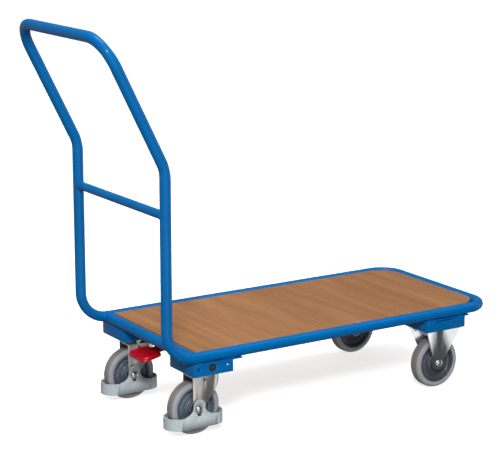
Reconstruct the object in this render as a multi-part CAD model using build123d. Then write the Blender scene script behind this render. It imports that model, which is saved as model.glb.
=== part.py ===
"""Flatbed platform truck: bent-tube frame with a push handle, a panel deck, two fixed castors in
front, two swivel castors behind and a central brake worked by one pedal.

Row frame: +X points to the front, +Y to the left of the person pushing, +Z up, millimetres.
The origin lies on the floor below the centre of the overall box. One STEP file per piece.
"""

from build123d import *
import math
import os

# ---------------------------------------------------------------- driving dimensions
OVERALL_LENGTH = 1072.0        # handle bar to front tube, outside to outside
DECK_SPAN = 904.0              # centre of the handle posts to centre of the front tube
TRACK_WIDTH = 407.0            # between the centre lines of the two side rails
HANDLE_HEIGHT = 908.0          # centre line of the push bar above the floor
KINK_HEIGHT = 622.0            # where the posts lean back

TUBE_D = 25.0
TUBE_WALL = 2.0
POST_BEND_R = 69.0             # rail into post
KINK_BEND_R = 84.0             # post into leaning part
HOOP_BEND_R = 67.0             # corners of the push bar
BOW_BEND_R = 55.0              # front corners of the deck
BOW_LEG = 8.0                  # straight stretch of the front bow behind its corners
POST_LEG = 6.0                 # straight stretch of the posts in front of their lower bend
HANDLE_JOINT_SHARE = 0.45      # where the leaning tube is joined, as a share of its length

RUNG_D = 20.0
RUNG_WALL = 1.5
RUNG_HEIGHT = 521.0
CROSS_TUBE_SETBACK = 67.0      # rear cross tube in front of the posts

DECK_THICKNESS = 22.0
DECK_CLEARANCE = 1.0           # between the panel edge and the tubes round it
DECK_CORNER_R = 58.0
DECK_SCREW_D = 4.0
DECK_SCREW_HEAD_D = 8.0
DECK_SCREW_HEAD_H = 2.5
DECK_SCREW_BITE = 14.0
DECK_SCREW_INSET_X = 10.0      # from the ends of the bracket tops
DECK_SCREW_INSET_Y = 44.0      # middle of a pair of screws from the panel's side
DECK_SCREW_PITCH = 44.0        # between the two screws of a pair

BRACKET_HEIGHT = 29.5
BRACKET_WIDTH = 105.0
BRACKET_OUTSET = 9.5           # outer wall outside the rail's centre line
BRACKET_SHEET = 3.0
REAR_BRACKET_SETBACK = 62.0    # posts to the rear wall of the rear brackets
REAR_BRACKET_LENGTH = 102.0
FRONT_BRACKET_SETBACK = 193.5  # front tube to the rear wall of the front brackets
FRONT_BRACKET_LENGTH = 116.0
REAR_TAB = 25.0                # top plate standing out in front of the box
FRONT_TAB = 12.0
END_SLOT_WIDTH = 3.0           # drain slot in the rear walls
END_SLOT_HEIGHT = 11.0
BRACKET_PILOT_D = 5.0
BRACKET_PILOT_INSET = 14.0
WELD_NOTCH_LENGTH = 58.0       # weld relief in the outer wall of the front brackets
WELD_NOTCH_DEPTH = 2.4

CASTOR_PLATE_T = 3.5
CASTOR_PLATE_RECESS = 0.5      # underside of the castor plates above the lower edge of the brackets
CASTOR_PLATE_GAP = 0.5         # between a fixed castor plate and the outer wall
CASTOR_PLATE_CORNER_R = 5.0
PLATE_BOLT_R = 4.0
PLATE_BOLT_HOLE_R = 4.5
PLATE_BOLT_HEAD_R = 6.5
PLATE_BOLT_HEAD_H = 3.0
PLATE_BOLT_TAIL = 12.0         # shank below the castor plate
PLATE_NUT_ACROSS = 13.0
PLATE_NUT_H = 6.5

WHEEL_D = 125.0
WHEEL_WIDTH = 32.0
TREAD_DEPTH = 13.5
TREAD_SHOULDER_R = 6.5
HUB_RIM_T = 5.0
HUB_RIM_INSET = 1.5            # hub rim inside the tread's faces
HUB_WEB_T = 9.0
HUB_BOSS_R = 17.5
HUB_BOSS_PROUD = 1.0           # boss outside the tread's faces
HUB_RING_R = 31.0
HUB_RING_T = 2.0
HUB_RING_WIDTH = 17.0
BEARING_D = 28.0
BEARING_WIDTH = 8.0
BEARING_LIP = 3.0              # shoulder behind each bearing
AXLE_D = 10.0
SLEEVE_D = 13.0
RUNNING_CLEARANCE = 0.1
SLEEVE_BORE_CLEARANCE = 0.15
AXLE_HEAD_R = 8.5
AXLE_HEAD_H = 5.0
AXLE_HEAD_DOME = 3.0
AXLE_NUT_ACROSS = 16.0
AXLE_NUT_H = 7.0
AXLE_TAIL = 1.5                # thread standing out of the axle nut

SWIVEL_SETBACK = 132.0         # swivel axes in front of the posts
SWIVEL_INSET = 63.0            # swivel axes inside the outer walls of the brackets
TRAIL = 36.0
SWIVEL_PLATE_LENGTH = 70.0
SWIVEL_PLATE_WIDTH = 76.0
SWIVEL_BOLT_PATTERN = (48.0, 52.0)
CROWN_ROOM = 13.0              # top of the crown above the tread
CROWN_T = 3.0
CROWN_TO_PLATE = 13.5          # room for the race between the crown and the castor plate
FORK_SHEET = 3.0
FORK_SIDE_ROOM = 8.0           # between the tread and the inside of a leg
FORK_REAR_REACH = 48.0         # rear edge of the legs behind the swivel axis
FORK_NOSE_DROP = 10.0          # upright part of the nose below the crown
FORK_KNEE_OUT = 6.0            # knee of the slanted edge in front of the leg's round end
FORK_KNEE_UP = 10.0            # height of the knee over the axle
FORK_TOE = (0.8, 0.6)          # where the slanted edge meets the round end, in shares of its radius
FORK_END_R = 13.0
RACE_R = 23.0
RACE_PLAY = 0.4
BALL_D = 5.0
BALL_PITCH_R = 17.0
BALL_COUNT = 14
KINGPIN_R = 7.5
KINGPIN_HEAD_R = 11.0
KINGPIN_HEAD_T = 2.5
KINGPIN_FOOT_T = 2.3
KINGPIN_CLEARANCE = 0.3
KINGPIN_HEAD_ROOM = 1.0        # round the kingpin head in the bracket web

GUARD_ROOM = 7.0               # between the tread and the inside of the guard, fore and aft
GUARD_WALL = 3.0
GUARD_BOTTOM_DROP = 42.0       # lower edge of the band below the axle
GUARD_TOP_DROP = 14.5          # upper edge of the band below the axle
GUARD_EAR_FOOT = 43.0
GUARD_EAR_ROOT = 6.0           # how deep an ear runs down into the band
GUARD_EAR_SINK = 1.0
GUARD_EAR_LEAN = 0.25          # slope of an ear's edge where it leaves the band
GUARD_EAR_R = 14.5
GUARD_EAR_RISE = 24.0          # top of an ear above the axle
GUARD_EAR_T = 3.7
GUARD_EAR_GAP = 0.3
GUARD_RECESS_DEPTH = 2.0
GUARD_RECESS_R = 10.0
GUARD_TIP_DROP = 17.0          # tip of the drop-shaped recess below the axle
GUARD_TIP_HALF = 2.5
GUARD_TIP_ROOT = (8.8, 5.0)    # where the tip leaves the round of the recess

FIXED_SETBACK = 137.0          # front wheel axle behind the front tube
FIXED_SIDE_ROOM = 2.5          # between the tread and the inside of a leg
FIXED_SHEET = 3.0
FIXED_PLATE_LENGTH = 105.0
FIXED_PLATE_MARGIN = 21.0      # castor plate outside the inside of a leg
FIXED_BOLT_PATTERN = (82.0, 40.0)
FIXED_WEB = 34.0
FIXED_SPLAY = 17.0             # how far the gusset flanges stand out at the plate
FIXED_GUSSET_FOOT = 6.0        # height over the axle where the gussets run out

SHAFT_SETBACK = 110.0          # brake shaft in front of the posts
SHAFT_RISE = 17.0              # its axis above the lower edge of the brackets
SHAFT_ACROSS = 12.0
SHAFT_END_INSET = 1.0          # shaft ends inside the outer faces of the brackets
BUSH_R = 9.3
BUSH_WIDTH = 8.0
CAM_WIDTH = 18.0
CAM_HUB_R = 9.0
CAM_ARM_DROP = 3.0             # underside of the arm below the shaft's axis
CAM_ARM_T = 4.5
CAM_SLOT_HALF = 4.8
CAM_OVERHANG = 8.0

PLUNGER_R = 4.0
PLUNGER_COLLAR_R = 6.5
PLUNGER_COLLAR_T = 3.0
PLUNGER_PLAY = 0.8             # between a cam arm and the collar it lifts
PLUNGER_FOOT_R = 6.5
PLUNGER_FOOT_T = 3.0
PLUNGER_FOOT_DROP = 17.2       # underside of the foot below the top of the crown
ROCKER_ARM = 20.0              # plunger to rocker pin
ROCKER_TAIL = 20.0             # rocker pin to the end of the shoe
ROCKER_NOSE = 8.0              # nose in front of the plunger
ROCKER_NECK = 6.0              # where the lever starts to rise, behind the plunger
ROCKER_HALF_WIDTH = 13.0
ROCKER_PIN_R = 2.5
ROCKER_PIN_DROP = 8.7          # pin below the top of the crown
ROCKER_BOSS_R = 4.5
ROCKER_T = 2.5
ROCKER_NOSE_PLAY = 1.4         # between the plunger's foot and the nose
ROCKER_TREAD_GAP = 3.7         # shoe above the tread with the brake off
ROCKER_SLOT_HALF = 4.6

PEDAL_NEAR = 32.0              # front edge of the tread plate behind the shaft
PEDAL_FAR = 76.0               # rear edge
PEDAL_REAR_WIDTH = 90.0
PEDAL_FRONT_WIDTH = 72.0
PEDAL_T = 9.0
PEDAL_DROP = 4.0               # top of the tread plate below the shaft's axis line
PEDAL_TILT = 9.0
PEDAL_HUB_R = 11.0
PEDAL_HUB_WIDTH = 34.0
PEDAL_CORNER_R = 9.0
PEDAL_EDGE_R = 2.25
PEDAL_NECK_LAP = 4.0           # how far the neck runs into the tread plate
PEDAL_NECK_STEP = 1.0          # underside of the neck above the tread plate's

CUT = 1.0                      # how far a cutting shape runs past the face it cuts

# ---------------------------------------------------------------- places worked out from them
WHEEL_R = WHEEL_D / 2
AXLE_Z = WHEEL_R
CROWN_TOP = WHEEL_D + CROWN_ROOM
PLATE_BOTTOM = CROWN_TOP + CROWN_TO_PLATE
PLATE_TOP = PLATE_BOTTOM + CASTOR_PLATE_T
WEB_TOP = PLATE_TOP + BRACKET_SHEET
BRACKET_BOTTOM = PLATE_BOTTOM - CASTOR_PLATE_RECESS
SHAFT_HEIGHT = BRACKET_BOTTOM + SHAFT_RISE

TUBE_R = TUBE_D / 2
TUBE_BOTTOM = BRACKET_BOTTOM + BRACKET_HEIGHT
RAIL_HEIGHT = TUBE_BOTTOM + TUBE_R
RAIL_Y = TRACK_WIDTH / 2
FRONT_X = OVERALL_LENGTH / 2 - TUBE_R
POST_X = FRONT_X - DECK_SPAN
BAR_X = -OVERALL_LENGTH / 2 + TUBE_R
BOW_START_X = FRONT_X - BOW_BEND_R - BOW_LEG
RAIL_START_X = POST_X + POST_BEND_R + POST_LEG
JOINT_X = POST_X + (BAR_X - POST_X) * HANDLE_JOINT_SHARE
JOINT_Z = KINK_HEIGHT + (HANDLE_HEIGHT - KINK_HEIGHT) * HANDLE_JOINT_SHARE
CROSS_X = POST_X + CROSS_TUBE_SETBACK

DECK_BOTTOM = TUBE_BOTTOM
DECK_TOP = DECK_BOTTOM + DECK_THICKNESS
DECK_REAR_X = CROSS_X + TUBE_R + DECK_CLEARANCE
DECK_FRONT_X = FRONT_X - TUBE_R - DECK_CLEARANCE
DECK_HALF_WIDTH = RAIL_Y - TUBE_R - DECK_CLEARANCE

BRACKET_OUTER_Y = RAIL_Y + BRACKET_OUTSET
BRACKET_INNER_Y = BRACKET_OUTER_Y - BRACKET_WIDTH
REAR_BRACKET_X = POST_X + REAR_BRACKET_SETBACK
FRONT_BRACKET_X = FRONT_X - FRONT_BRACKET_SETBACK

HUB_RIM_R = WHEEL_R - TREAD_DEPTH
HUB_BOSS_HALF = WHEEL_WIDTH / 2 + HUB_BOSS_PROUD
HUB_RIM_HALF = WHEEL_WIDTH / 2 - HUB_RIM_INSET
FORK_HALF_WIDTH = WHEEL_WIDTH / 2 + FORK_SIDE_ROOM + FORK_SHEET
FIXED_HALF_GAP = WHEEL_WIDTH / 2 + FIXED_SIDE_ROOM
FIXED_PLATE_WIDTH = 2 * (FIXED_HALF_GAP + FIXED_PLATE_MARGIN)
GUARD_HALF_WIDTH = FORK_HALF_WIDTH + GUARD_EAR_GAP + GUARD_EAR_T
GUARD_LENGTH = WHEEL_D + 2 * (GUARD_ROOM + GUARD_WALL)
GUARD_TOP = AXLE_Z - GUARD_TOP_DROP
GUARD_BOTTOM = AXLE_Z - GUARD_BOTTOM_DROP

SWIVEL_X = POST_X + SWIVEL_SETBACK
SWIVEL_Y = BRACKET_OUTER_Y - SWIVEL_INSET
REAR_WHEEL_X = SWIVEL_X - TRAIL
FRONT_WHEEL_X = FRONT_X - FIXED_SETBACK
FIXED_Y = BRACKET_OUTER_Y - BRACKET_SHEET - CASTOR_PLATE_GAP - FIXED_PLATE_WIDTH / 2
RACE_BOTTOM = CROWN_TOP + BALL_D + RACE_PLAY

SHAFT_X = POST_X + SHAFT_SETBACK
SHAFT_HALF_LENGTH = BRACKET_OUTER_Y - SHAFT_END_INSET
CAM_ARM_BOTTOM = SHAFT_HEIGHT - CAM_ARM_DROP
CAM_ARM_TOP = CAM_ARM_BOTTOM + CAM_ARM_T
COLLAR_BOTTOM = CAM_ARM_TOP + PLUNGER_PLAY
PLUNGER_TOP = COLLAR_BOTTOM + PLUNGER_COLLAR_T
PLUNGER_BOTTOM = CROWN_TOP - PLUNGER_FOOT_DROP
PLUNGER_FOOT_TOP = PLUNGER_BOTTOM + PLUNGER_FOOT_T
ROCKER_PIN_X = SWIVEL_X - ROCKER_ARM
ROCKER_PIN_HEIGHT = CROWN_TOP - ROCKER_PIN_DROP
ROCKER_NOSE_BOTTOM = PLUNGER_FOOT_TOP + ROCKER_NOSE_PLAY
ROCKER_TAIL_BOTTOM = WHEEL_D + ROCKER_TREAD_GAP

SIDES = {"left": 1, "right": -1}


# ---------------------------------------------------------------- small helpers
def block(x0, x1, y0, y1, z0, z1):
    """Box between two corners."""
    y0, y1 = min(y0, y1), max(y0, y1)
    size = (x1 - x0, y1 - y0, z1 - z0)
    return Pos((x0 + x1) / 2, (y0 + y1) / 2, (z0 + z1) / 2) * Box(*size)


def single(shape):
    """The one solid of a shape."""
    return shape if isinstance(shape, Solid) else shape.solid()


def post(x, y, z0, z1, radius):
    """Upright cylinder."""
    return Pos(x, y, (z0 + z1) / 2) * Cylinder(radius, z1 - z0)


def spindle(x, z, y0, y1, radius):
    """Cylinder lying along Y."""
    y0, y1 = min(y0, y1), max(y0, y1)
    return Pos(x, (y0 + y1) / 2, z) * Rot(90, 0, 0) * Cylinder(radius, y1 - y0)


def hexagon(x, z, y0, y1, across):
    """Six-sided bar lying along Y."""
    y0, y1 = min(y0, y1), max(y0, y1)
    face = Plane.XZ.offset(-y0) * Pos(x, z) * RegularPolygon(across / 2, 6, major_radius=False)
    return extrude(face, amount=-(y1 - y0))


def slab(outline, y0, y1):
    """Closed outline of (x, z) points, as a plate between two Y planes."""
    y0, y1 = min(y0, y1), max(y0, y1)
    face = Plane.XZ.offset(-y0) * make_face(Polyline(*outline, close=True))
    return extrude(face, amount=-(y1 - y0))


def tube_section(diameter, wall):
    """Section of a tube; a wall of half the diameter gives a solid bar."""
    outer = Circle(diameter / 2)
    return outer - Circle(diameter / 2 - wall) if wall < diameter / 2 else outer


def bent_tube(points, radii, diameter, wall):
    """Round tube along straight runs joined by tangent bends."""
    path = FilletPolyline(*points, radius=radii)
    return sweep(Plane(origin=path @ 0, z_dir=path % 0) * tube_section(diameter, wall), path=path)


def straight_tube(start, end, diameter, wall):
    """Round tube along one straight run."""
    path = Line(start, end)
    return sweep(Plane(origin=path @ 0, z_dir=path % 0) * tube_section(diameter, wall), path=path)


def turned(profile, x, y, z):
    """Solid of revolution about a line along Y through a point; profile holds (radius, y)."""
    face = make_face(Polyline(*[(r, offset) for r, offset in profile], close=True))
    return Pos(x, y, z) * revolve(face, Axis.Y)


# ---------------------------------------------------------------- frame and deck
def side_rail(side):
    y = SIDES[side] * RAIL_Y
    return straight_tube((RAIL_START_X, y, RAIL_HEIGHT), (BOW_START_X, y, RAIL_HEIGHT), TUBE_D, TUBE_WALL)


def front_bow():
    corners = [(BOW_START_X, -RAIL_Y, RAIL_HEIGHT), (FRONT_X, -RAIL_Y, RAIL_HEIGHT),
               (FRONT_X, RAIL_Y, RAIL_HEIGHT), (BOW_START_X, RAIL_Y, RAIL_HEIGHT)]
    return bent_tube(corners, [BOW_BEND_R, BOW_BEND_R], TUBE_D, TUBE_WALL)


def handle_post(side):
    y = SIDES[side] * RAIL_Y
    corners = [(RAIL_START_X, y, RAIL_HEIGHT), (POST_X, y, RAIL_HEIGHT),
               (POST_X, y, KINK_HEIGHT), (JOINT_X, y, JOINT_Z)]
    return bent_tube(corners, [POST_BEND_R, KINK_BEND_R], TUBE_D, TUBE_WALL)


def push_bar():
    corners = [(JOINT_X, -RAIL_Y, JOINT_Z), (BAR_X, -RAIL_Y, HANDLE_HEIGHT),
               (BAR_X, RAIL_Y, HANDLE_HEIGHT), (JOINT_X, RAIL_Y, JOINT_Z)]
    return bent_tube(corners, [HOOP_BEND_R, HOOP_BEND_R], TUBE_D, TUBE_WALL)


def welded_between(x, z, diameter, wall, cutters):
    """Tube lying along Y, its ends cut to the tubes that it is welded to."""
    reach = RAIL_Y - TUBE_WALL
    bar = straight_tube((x, -reach, z), (x, reach, z), diameter, wall)
    for cutter in cutters:
        bar = bar - cutter
    return single(bar.solids().sort_by(lambda piece: piece.volume)[-1])


def handle_rung():
    posts = [post(POST_X, sign * RAIL_Y, RUNG_HEIGHT - RUNG_D, RUNG_HEIGHT + RUNG_D, TUBE_R)
             for sign in SIDES.values()]
    return welded_between(POST_X, RUNG_HEIGHT, RUNG_D, RUNG_WALL, posts)


def cross_tube():
    cutters = []
    for sign in SIDES.values():
        corners = [(DECK_REAR_X, sign * RAIL_Y, RAIL_HEIGHT), (POST_X, sign * RAIL_Y, RAIL_HEIGHT),
                   (POST_X, sign * RAIL_Y, RUNG_HEIGHT)]
        cutters.append(bent_tube(corners, [POST_BEND_R], TUBE_D, TUBE_R))
    return welded_between(CROSS_X, RAIL_HEIGHT, TUBE_D, TUBE_WALL, cutters)


def deck_screw_places():
    """(x, y) of the screws that come up through the bracket tops into the panel."""
    rear = REAR_BRACKET_X + REAR_BRACKET_LENGTH - DECK_SCREW_INSET_X
    front = FRONT_BRACKET_X + DECK_SCREW_INSET_X
    middle = DECK_HALF_WIDTH - DECK_SCREW_INSET_Y
    spread = DECK_SCREW_PITCH / 2
    return [(x, sign * (middle + shift)) for x in (rear, front) for sign in (1, -1)
            for shift in (spread, -spread)]


def deck_board():
    board = block(DECK_REAR_X, DECK_FRONT_X, -DECK_HALF_WIDTH, DECK_HALF_WIDTH, DECK_BOTTOM, DECK_TOP)
    corners = board.edges().filter_by(Axis.Z).group_by(Axis.X)[-1]
    board = fillet(corners, DECK_CORNER_R)
    for x, y in deck_screw_places():
        board = board - post(x, y, DECK_BOTTOM - CUT, DECK_BOTTOM + DECK_SCREW_BITE, DECK_SCREW_D / 2)
    return board


def deck_screws():
    seat = TUBE_BOTTOM - BRACKET_SHEET
    screws = []
    for x, y in deck_screw_places():
        shank = post(x, y, seat, DECK_BOTTOM + DECK_SCREW_BITE, DECK_SCREW_D / 2)
        head = post(x, y, seat - DECK_SCREW_HEAD_H, seat, DECK_SCREW_HEAD_D / 2)
        screws.append(single(shank + head))
    return Compound(children=screws)


# ---------------------------------------------------------------- brackets
def castor_bracket(end, side):
    """Folded box under the rail: top plate, side walls, rear wall and the web the castor bolts to."""
    rear = end == "rear"
    x0 = REAR_BRACKET_X if rear else FRONT_BRACKET_X
    length = REAR_BRACKET_LENGTH if rear else FRONT_BRACKET_LENGTH
    x1 = x0 + length
    sign = SIDES[side]
    inner, outer = sign * BRACKET_INNER_Y, sign * BRACKET_OUTER_Y
    sheet = BRACKET_SHEET
    tab = REAR_TAB if rear else FRONT_TAB
    box = block(x0, x1, inner, outer, BRACKET_BOTTOM, TUBE_BOTTOM)
    room_end = x1 + CUT if rear else x1 - sheet
    walls = (inner + sign * sheet, outer - sign * sheet)
    box = box - block(x0 + sheet, room_end, *walls, WEB_TOP, TUBE_BOTTOM - sheet)
    box = box - block(x0 + sheet, room_end, *walls, BRACKET_BOTTOM - CUT, PLATE_TOP)
    box = box + block(x1 - sheet, x1 + tab, inner, outer, TUBE_BOTTOM - sheet, TUBE_BOTTOM)
    middle = sign * (BRACKET_INNER_Y + BRACKET_OUTER_Y) / 2
    slot_z = (WEB_TOP + TUBE_BOTTOM - sheet) / 2
    box = box - block(x0 - CUT, x0 + sheet + CUT, middle - END_SLOT_WIDTH / 2, middle + END_SLOT_WIDTH / 2,
                      slot_z - END_SLOT_HEIGHT / 2, slot_z + END_SLOT_HEIGHT / 2)
    centre_x, centre_y, bolts = castor_seat(end, side)
    for x, y in bolt_places(centre_x, centre_y, bolts):
        box = box - post(x, y, PLATE_TOP - CUT, WEB_TOP + CUT, PLATE_BOLT_HOLE_R)
    for x, y in deck_screw_places():
        box = box - post(x, y, TUBE_BOTTOM - sheet - CUT, TUBE_BOTTOM + CUT, DECK_SCREW_D / 2)
    if rear:
        box = box - spindle(SHAFT_X, SHAFT_HEIGHT, inner - sign * CUT, outer + sign * CUT,
                            BUSH_R + RUNNING_CLEARANCE)
        head_hole_r = KINGPIN_HEAD_R + KINGPIN_HEAD_ROOM
        box = box - post(centre_x, centre_y, PLATE_TOP - CUT, WEB_TOP + CUT, head_hole_r)
        for x in (x0 + BRACKET_PILOT_INSET, x1 - BRACKET_PILOT_INSET):
            box = box - spindle(x, SHAFT_HEIGHT, outer - sign * (sheet + CUT), outer + sign * CUT,
                                BRACKET_PILOT_D / 2)
    else:
        middle_x = (x0 + x1) / 2
        ceiling = TUBE_BOTTOM - sheet
        box = box - block(middle_x - WELD_NOTCH_LENGTH / 2, middle_x + WELD_NOTCH_LENGTH / 2,
                          outer - sign * (sheet + CUT / 2), outer + sign * CUT,
                          ceiling - WELD_NOTCH_DEPTH, ceiling)
    return box


def castor_seat(end, side):
    """Centre and bolt pattern of the castor under a bracket."""
    sign = SIDES[side]
    if end == "rear":
        return SWIVEL_X, sign * SWIVEL_Y, SWIVEL_BOLT_PATTERN
    return FRONT_WHEEL_X, sign * FIXED_Y, FIXED_BOLT_PATTERN


def bolt_places(x, y, pattern):
    """Corners of a rectangular bolt pattern."""
    return [(x + i * pattern[0] / 2, y + j * pattern[1] / 2) for i in (-1, 1) for j in (-1, 1)]


def castor_bolt_places():
    """Every castor plate bolt of the truck."""
    places = []
    for end in ("rear", "front"):
        for side in SIDES:
            places += bolt_places(*castor_seat(end, side))
    return places


def upright_hexagon(x, y, z0, z1, across):
    """Six-sided prism standing along Z."""
    return extrude(Pos(x, y, z0) * RegularPolygon(across / 2, 6, major_radius=False), amount=z1 - z0)


def castor_bolts():
    bolts = []
    for x, y in castor_bolt_places():
        shank = post(x, y, PLATE_BOTTOM - PLATE_BOLT_TAIL, WEB_TOP, PLATE_BOLT_R)
        head = post(x, y, WEB_TOP, WEB_TOP + PLATE_BOLT_HEAD_H, PLATE_BOLT_HEAD_R)
        bolts.append(single(shank + head))
    return Compound(children=bolts)


def castor_nuts():
    nuts = []
    for x, y in castor_bolt_places():
        body = upright_hexagon(x, y, PLATE_BOTTOM - PLATE_NUT_H, PLATE_BOTTOM, PLATE_NUT_ACROSS)
        bore = post(x, y, PLATE_BOTTOM - PLATE_NUT_H - CUT, PLATE_BOTTOM + CUT, PLATE_BOLT_R)
        nuts.append(single(body - bore))
    return Compound(children=nuts)


# ---------------------------------------------------------------- wheels
def wheel_tread(x, y):
    half = WHEEL_WIDTH / 2
    tyre = spindle(x, AXLE_Z, y - half, y + half, WHEEL_R)
    tyre = fillet(tyre.edges().filter_by(GeomType.CIRCLE), TREAD_SHOULDER_R)
    return tyre - spindle(x, AXLE_Z, y - half - CUT, y + half + CUT, HUB_RIM_R)


def wheel_hub(x, y):
    """Dished hub turned from one profile: rim, web with a raised ring, and a boss with bearing seats."""
    web, ring = HUB_WEB_T / 2, HUB_RING_WIDTH / 2
    rim_in = HUB_RIM_R - HUB_RIM_T
    ring_in = HUB_RING_R - HUB_RING_T
    bore = BEARING_D / 2 - BEARING_LIP
    seat = HUB_BOSS_HALF - BEARING_WIDTH
    half = [(bore, seat), (BEARING_D / 2, seat), (BEARING_D / 2, HUB_BOSS_HALF),
            (HUB_BOSS_R, HUB_BOSS_HALF), (HUB_BOSS_R, web), (ring_in, web), (ring_in, ring),
            (HUB_RING_R, ring), (HUB_RING_R, web), (rim_in, web), (rim_in, HUB_RIM_HALF),
            (HUB_RIM_R, HUB_RIM_HALF)]
    profile = half + [(r, -offset) for r, offset in reversed(half)]
    return turned(profile, x, y, AXLE_Z)


def wheel_bearings(x, y):
    rings = []
    for sign in (1, -1):
        y0 = y + sign * (HUB_BOSS_HALF - BEARING_WIDTH)
        y1 = y + sign * HUB_BOSS_HALF
        hole = SLEEVE_D / 2 + RUNNING_CLEARANCE
        bore = spindle(x, AXLE_Z, min(y0, y1) - CUT, max(y0, y1) + CUT, hole)
        rings.append(spindle(x, AXLE_Z, y0, y1, BEARING_D / 2) - bore)
    return Compound(children=[single(ring) for ring in rings])


def axle_sleeve(x, y, half_gap):
    tube = spindle(x, AXLE_Z, y - half_gap, y + half_gap, SLEEVE_D / 2)
    bore = AXLE_D / 2 + SLEEVE_BORE_CLEARANCE
    return tube - spindle(x, AXLE_Z, y - half_gap - CUT, y + half_gap + CUT, bore)


def axle_bolt(x, y, seat, far_seat):
    """Dome-headed bolt, its head outside the right-hand face of the castor."""
    head = spindle(x, AXLE_Z, y - seat - AXLE_HEAD_H, y - seat, AXLE_HEAD_R)
    rim = head.edges().filter_by(GeomType.CIRCLE).sort_by(Axis.Y)[0]
    head = fillet([rim], AXLE_HEAD_DOME)
    return head + spindle(x, AXLE_Z, y - seat, y + far_seat + AXLE_NUT_H + AXLE_TAIL, AXLE_D / 2)


def axle_nut(x, y, seat):
    nut = hexagon(x, AXLE_Z, y + seat, y + seat + AXLE_NUT_H, AXLE_NUT_ACROSS)
    return nut - spindle(x, AXLE_Z, y + seat - CUT, y + seat + AXLE_NUT_H + CUT, AXLE_D / 2)


# ---------------------------------------------------------------- swivel castors
def swivel_plate(side):
    y = SIDES[side] * SWIVEL_Y
    reach, half = SWIVEL_PLATE_LENGTH / 2, SWIVEL_PLATE_WIDTH / 2
    plate = block(SWIVEL_X - reach, SWIVEL_X + reach, y - half, y + half, PLATE_BOTTOM, PLATE_TOP)
    plate = fillet(plate.edges().filter_by(Axis.Z), CASTOR_PLATE_CORNER_R)
    plate = plate - post(SWIVEL_X, y, PLATE_BOTTOM - CUT, PLATE_TOP + CUT, KINGPIN_R)
    for bx, by in bolt_places(SWIVEL_X, y, SWIVEL_BOLT_PATTERN):
        plate = plate - post(bx, by, PLATE_BOTTOM - CUT, PLATE_TOP + CUT, PLATE_BOLT_HOLE_R)
    return plate


def upper_races():
    races = []
    for sign in SIDES.values():
        y = sign * SWIVEL_Y
        race = post(SWIVEL_X, y, RACE_BOTTOM, PLATE_BOTTOM, RACE_R)
        races.append(single(race - post(SWIVEL_X, y, RACE_BOTTOM - CUT, PLATE_BOTTOM + CUT, KINGPIN_R)))
    return Compound(children=races)


def kingpins():
    pins = []
    for sign in SIDES.values():
        y = sign * SWIVEL_Y
        crown_bottom = CROWN_TOP - CROWN_T
        foot_top = crown_bottom - KINGPIN_CLEARANCE
        pin = post(SWIVEL_X, y, foot_top - KINGPIN_FOOT_T, PLATE_TOP + KINGPIN_HEAD_T, KINGPIN_R)
        pin = pin + post(SWIVEL_X, y, foot_top - KINGPIN_FOOT_T, foot_top, KINGPIN_HEAD_R)
        pin = pin + post(SWIVEL_X, y, PLATE_TOP, PLATE_TOP + KINGPIN_HEAD_T, KINGPIN_HEAD_R)
        pin = pin - post(SWIVEL_X, y, 0, DECK_BOTTOM, PLUNGER_R + RUNNING_CLEARANCE)
        pins.append(single(pin))
    return Compound(children=pins)


def race_balls(side):
    y = SIDES[side] * SWIVEL_Y
    balls = []
    for i in range(BALL_COUNT):
        angle = 2 * math.pi * i / BALL_COUNT
        place = (SWIVEL_X + BALL_PITCH_R * math.cos(angle), y + BALL_PITCH_R * math.sin(angle))
        balls.append(Pos(*place, CROWN_TOP + BALL_D / 2) * Sphere(BALL_D / 2))
    return Compound(children=[single(ball) for ball in balls])


def swivel_fork(side):
    """Pressed horseshoe fork: round front, straight legs, slanted front edge and a flat crown."""
    y = SIDES[side] * SWIVEL_Y
    rear = SWIVEL_X - FORK_REAR_REACH
    outer, inner = FORK_HALF_WIDTH, FORK_HALF_WIDTH - FORK_SHEET
    low = AXLE_Z - FORK_END_R

    def horseshoe(half_width, back, top):
        legs = block(back, SWIVEL_X, y - half_width, y + half_width, low, top)
        return legs + post(SWIVEL_X, y, low, top, half_width)

    shell = horseshoe(outer, rear, CROWN_TOP) - horseshoe(inner, rear - CUT, CROWN_TOP - CROWN_T)
    nose = SWIVEL_X + FORK_HALF_WIDTH + CUT
    knee = REAR_WHEEL_X + FORK_END_R + FORK_KNEE_OUT
    toe = (REAR_WHEEL_X + FORK_END_R * FORK_TOE[0], AXLE_Z - FORK_END_R * FORK_TOE[1])
    outline = [(rear - CUT, CROWN_TOP + CUT), (nose, CROWN_TOP + CUT), (nose, CROWN_TOP - FORK_NOSE_DROP),
               (knee, AXLE_Z + FORK_KNEE_UP), toe, (REAR_WHEEL_X, low), (rear - CUT, low)]
    shell = shell & slab(outline, y - outer - CUT, y + outer + CUT)
    corner = block(rear - CUT, REAR_WHEEL_X, y - outer - CUT, y + outer + CUT, low - CUT, AXLE_Z)
    corner = corner - spindle(REAR_WHEEL_X, AXLE_Z, y - outer - 2 * CUT, y + outer + 2 * CUT, FORK_END_R)
    shell = shell - corner
    shell = shell - spindle(REAR_WHEEL_X, AXLE_Z, y - outer - CUT, y + outer + CUT, AXLE_D / 2)
    shell = shell - spindle(ROCKER_PIN_X, ROCKER_PIN_HEIGHT, y - outer - CUT, y + outer + CUT, ROCKER_PIN_R)
    crown_bottom = CROWN_TOP - CROWN_T
    return shell - post(SWIVEL_X, y, crown_bottom - CUT, CROWN_TOP + CUT, KINGPIN_R + RUNNING_CLEARANCE)


def stadium(x, y, z0, z1, length, half_width):
    """Upright prism with two straight sides and two round ends."""
    reach = length / 2 - half_width
    body = block(x - reach, x + reach, y - half_width, y + half_width, z0, z1)
    return body + post(x - reach, y, z0, z1, half_width) + post(x + reach, y, z0, z1, half_width)


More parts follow.
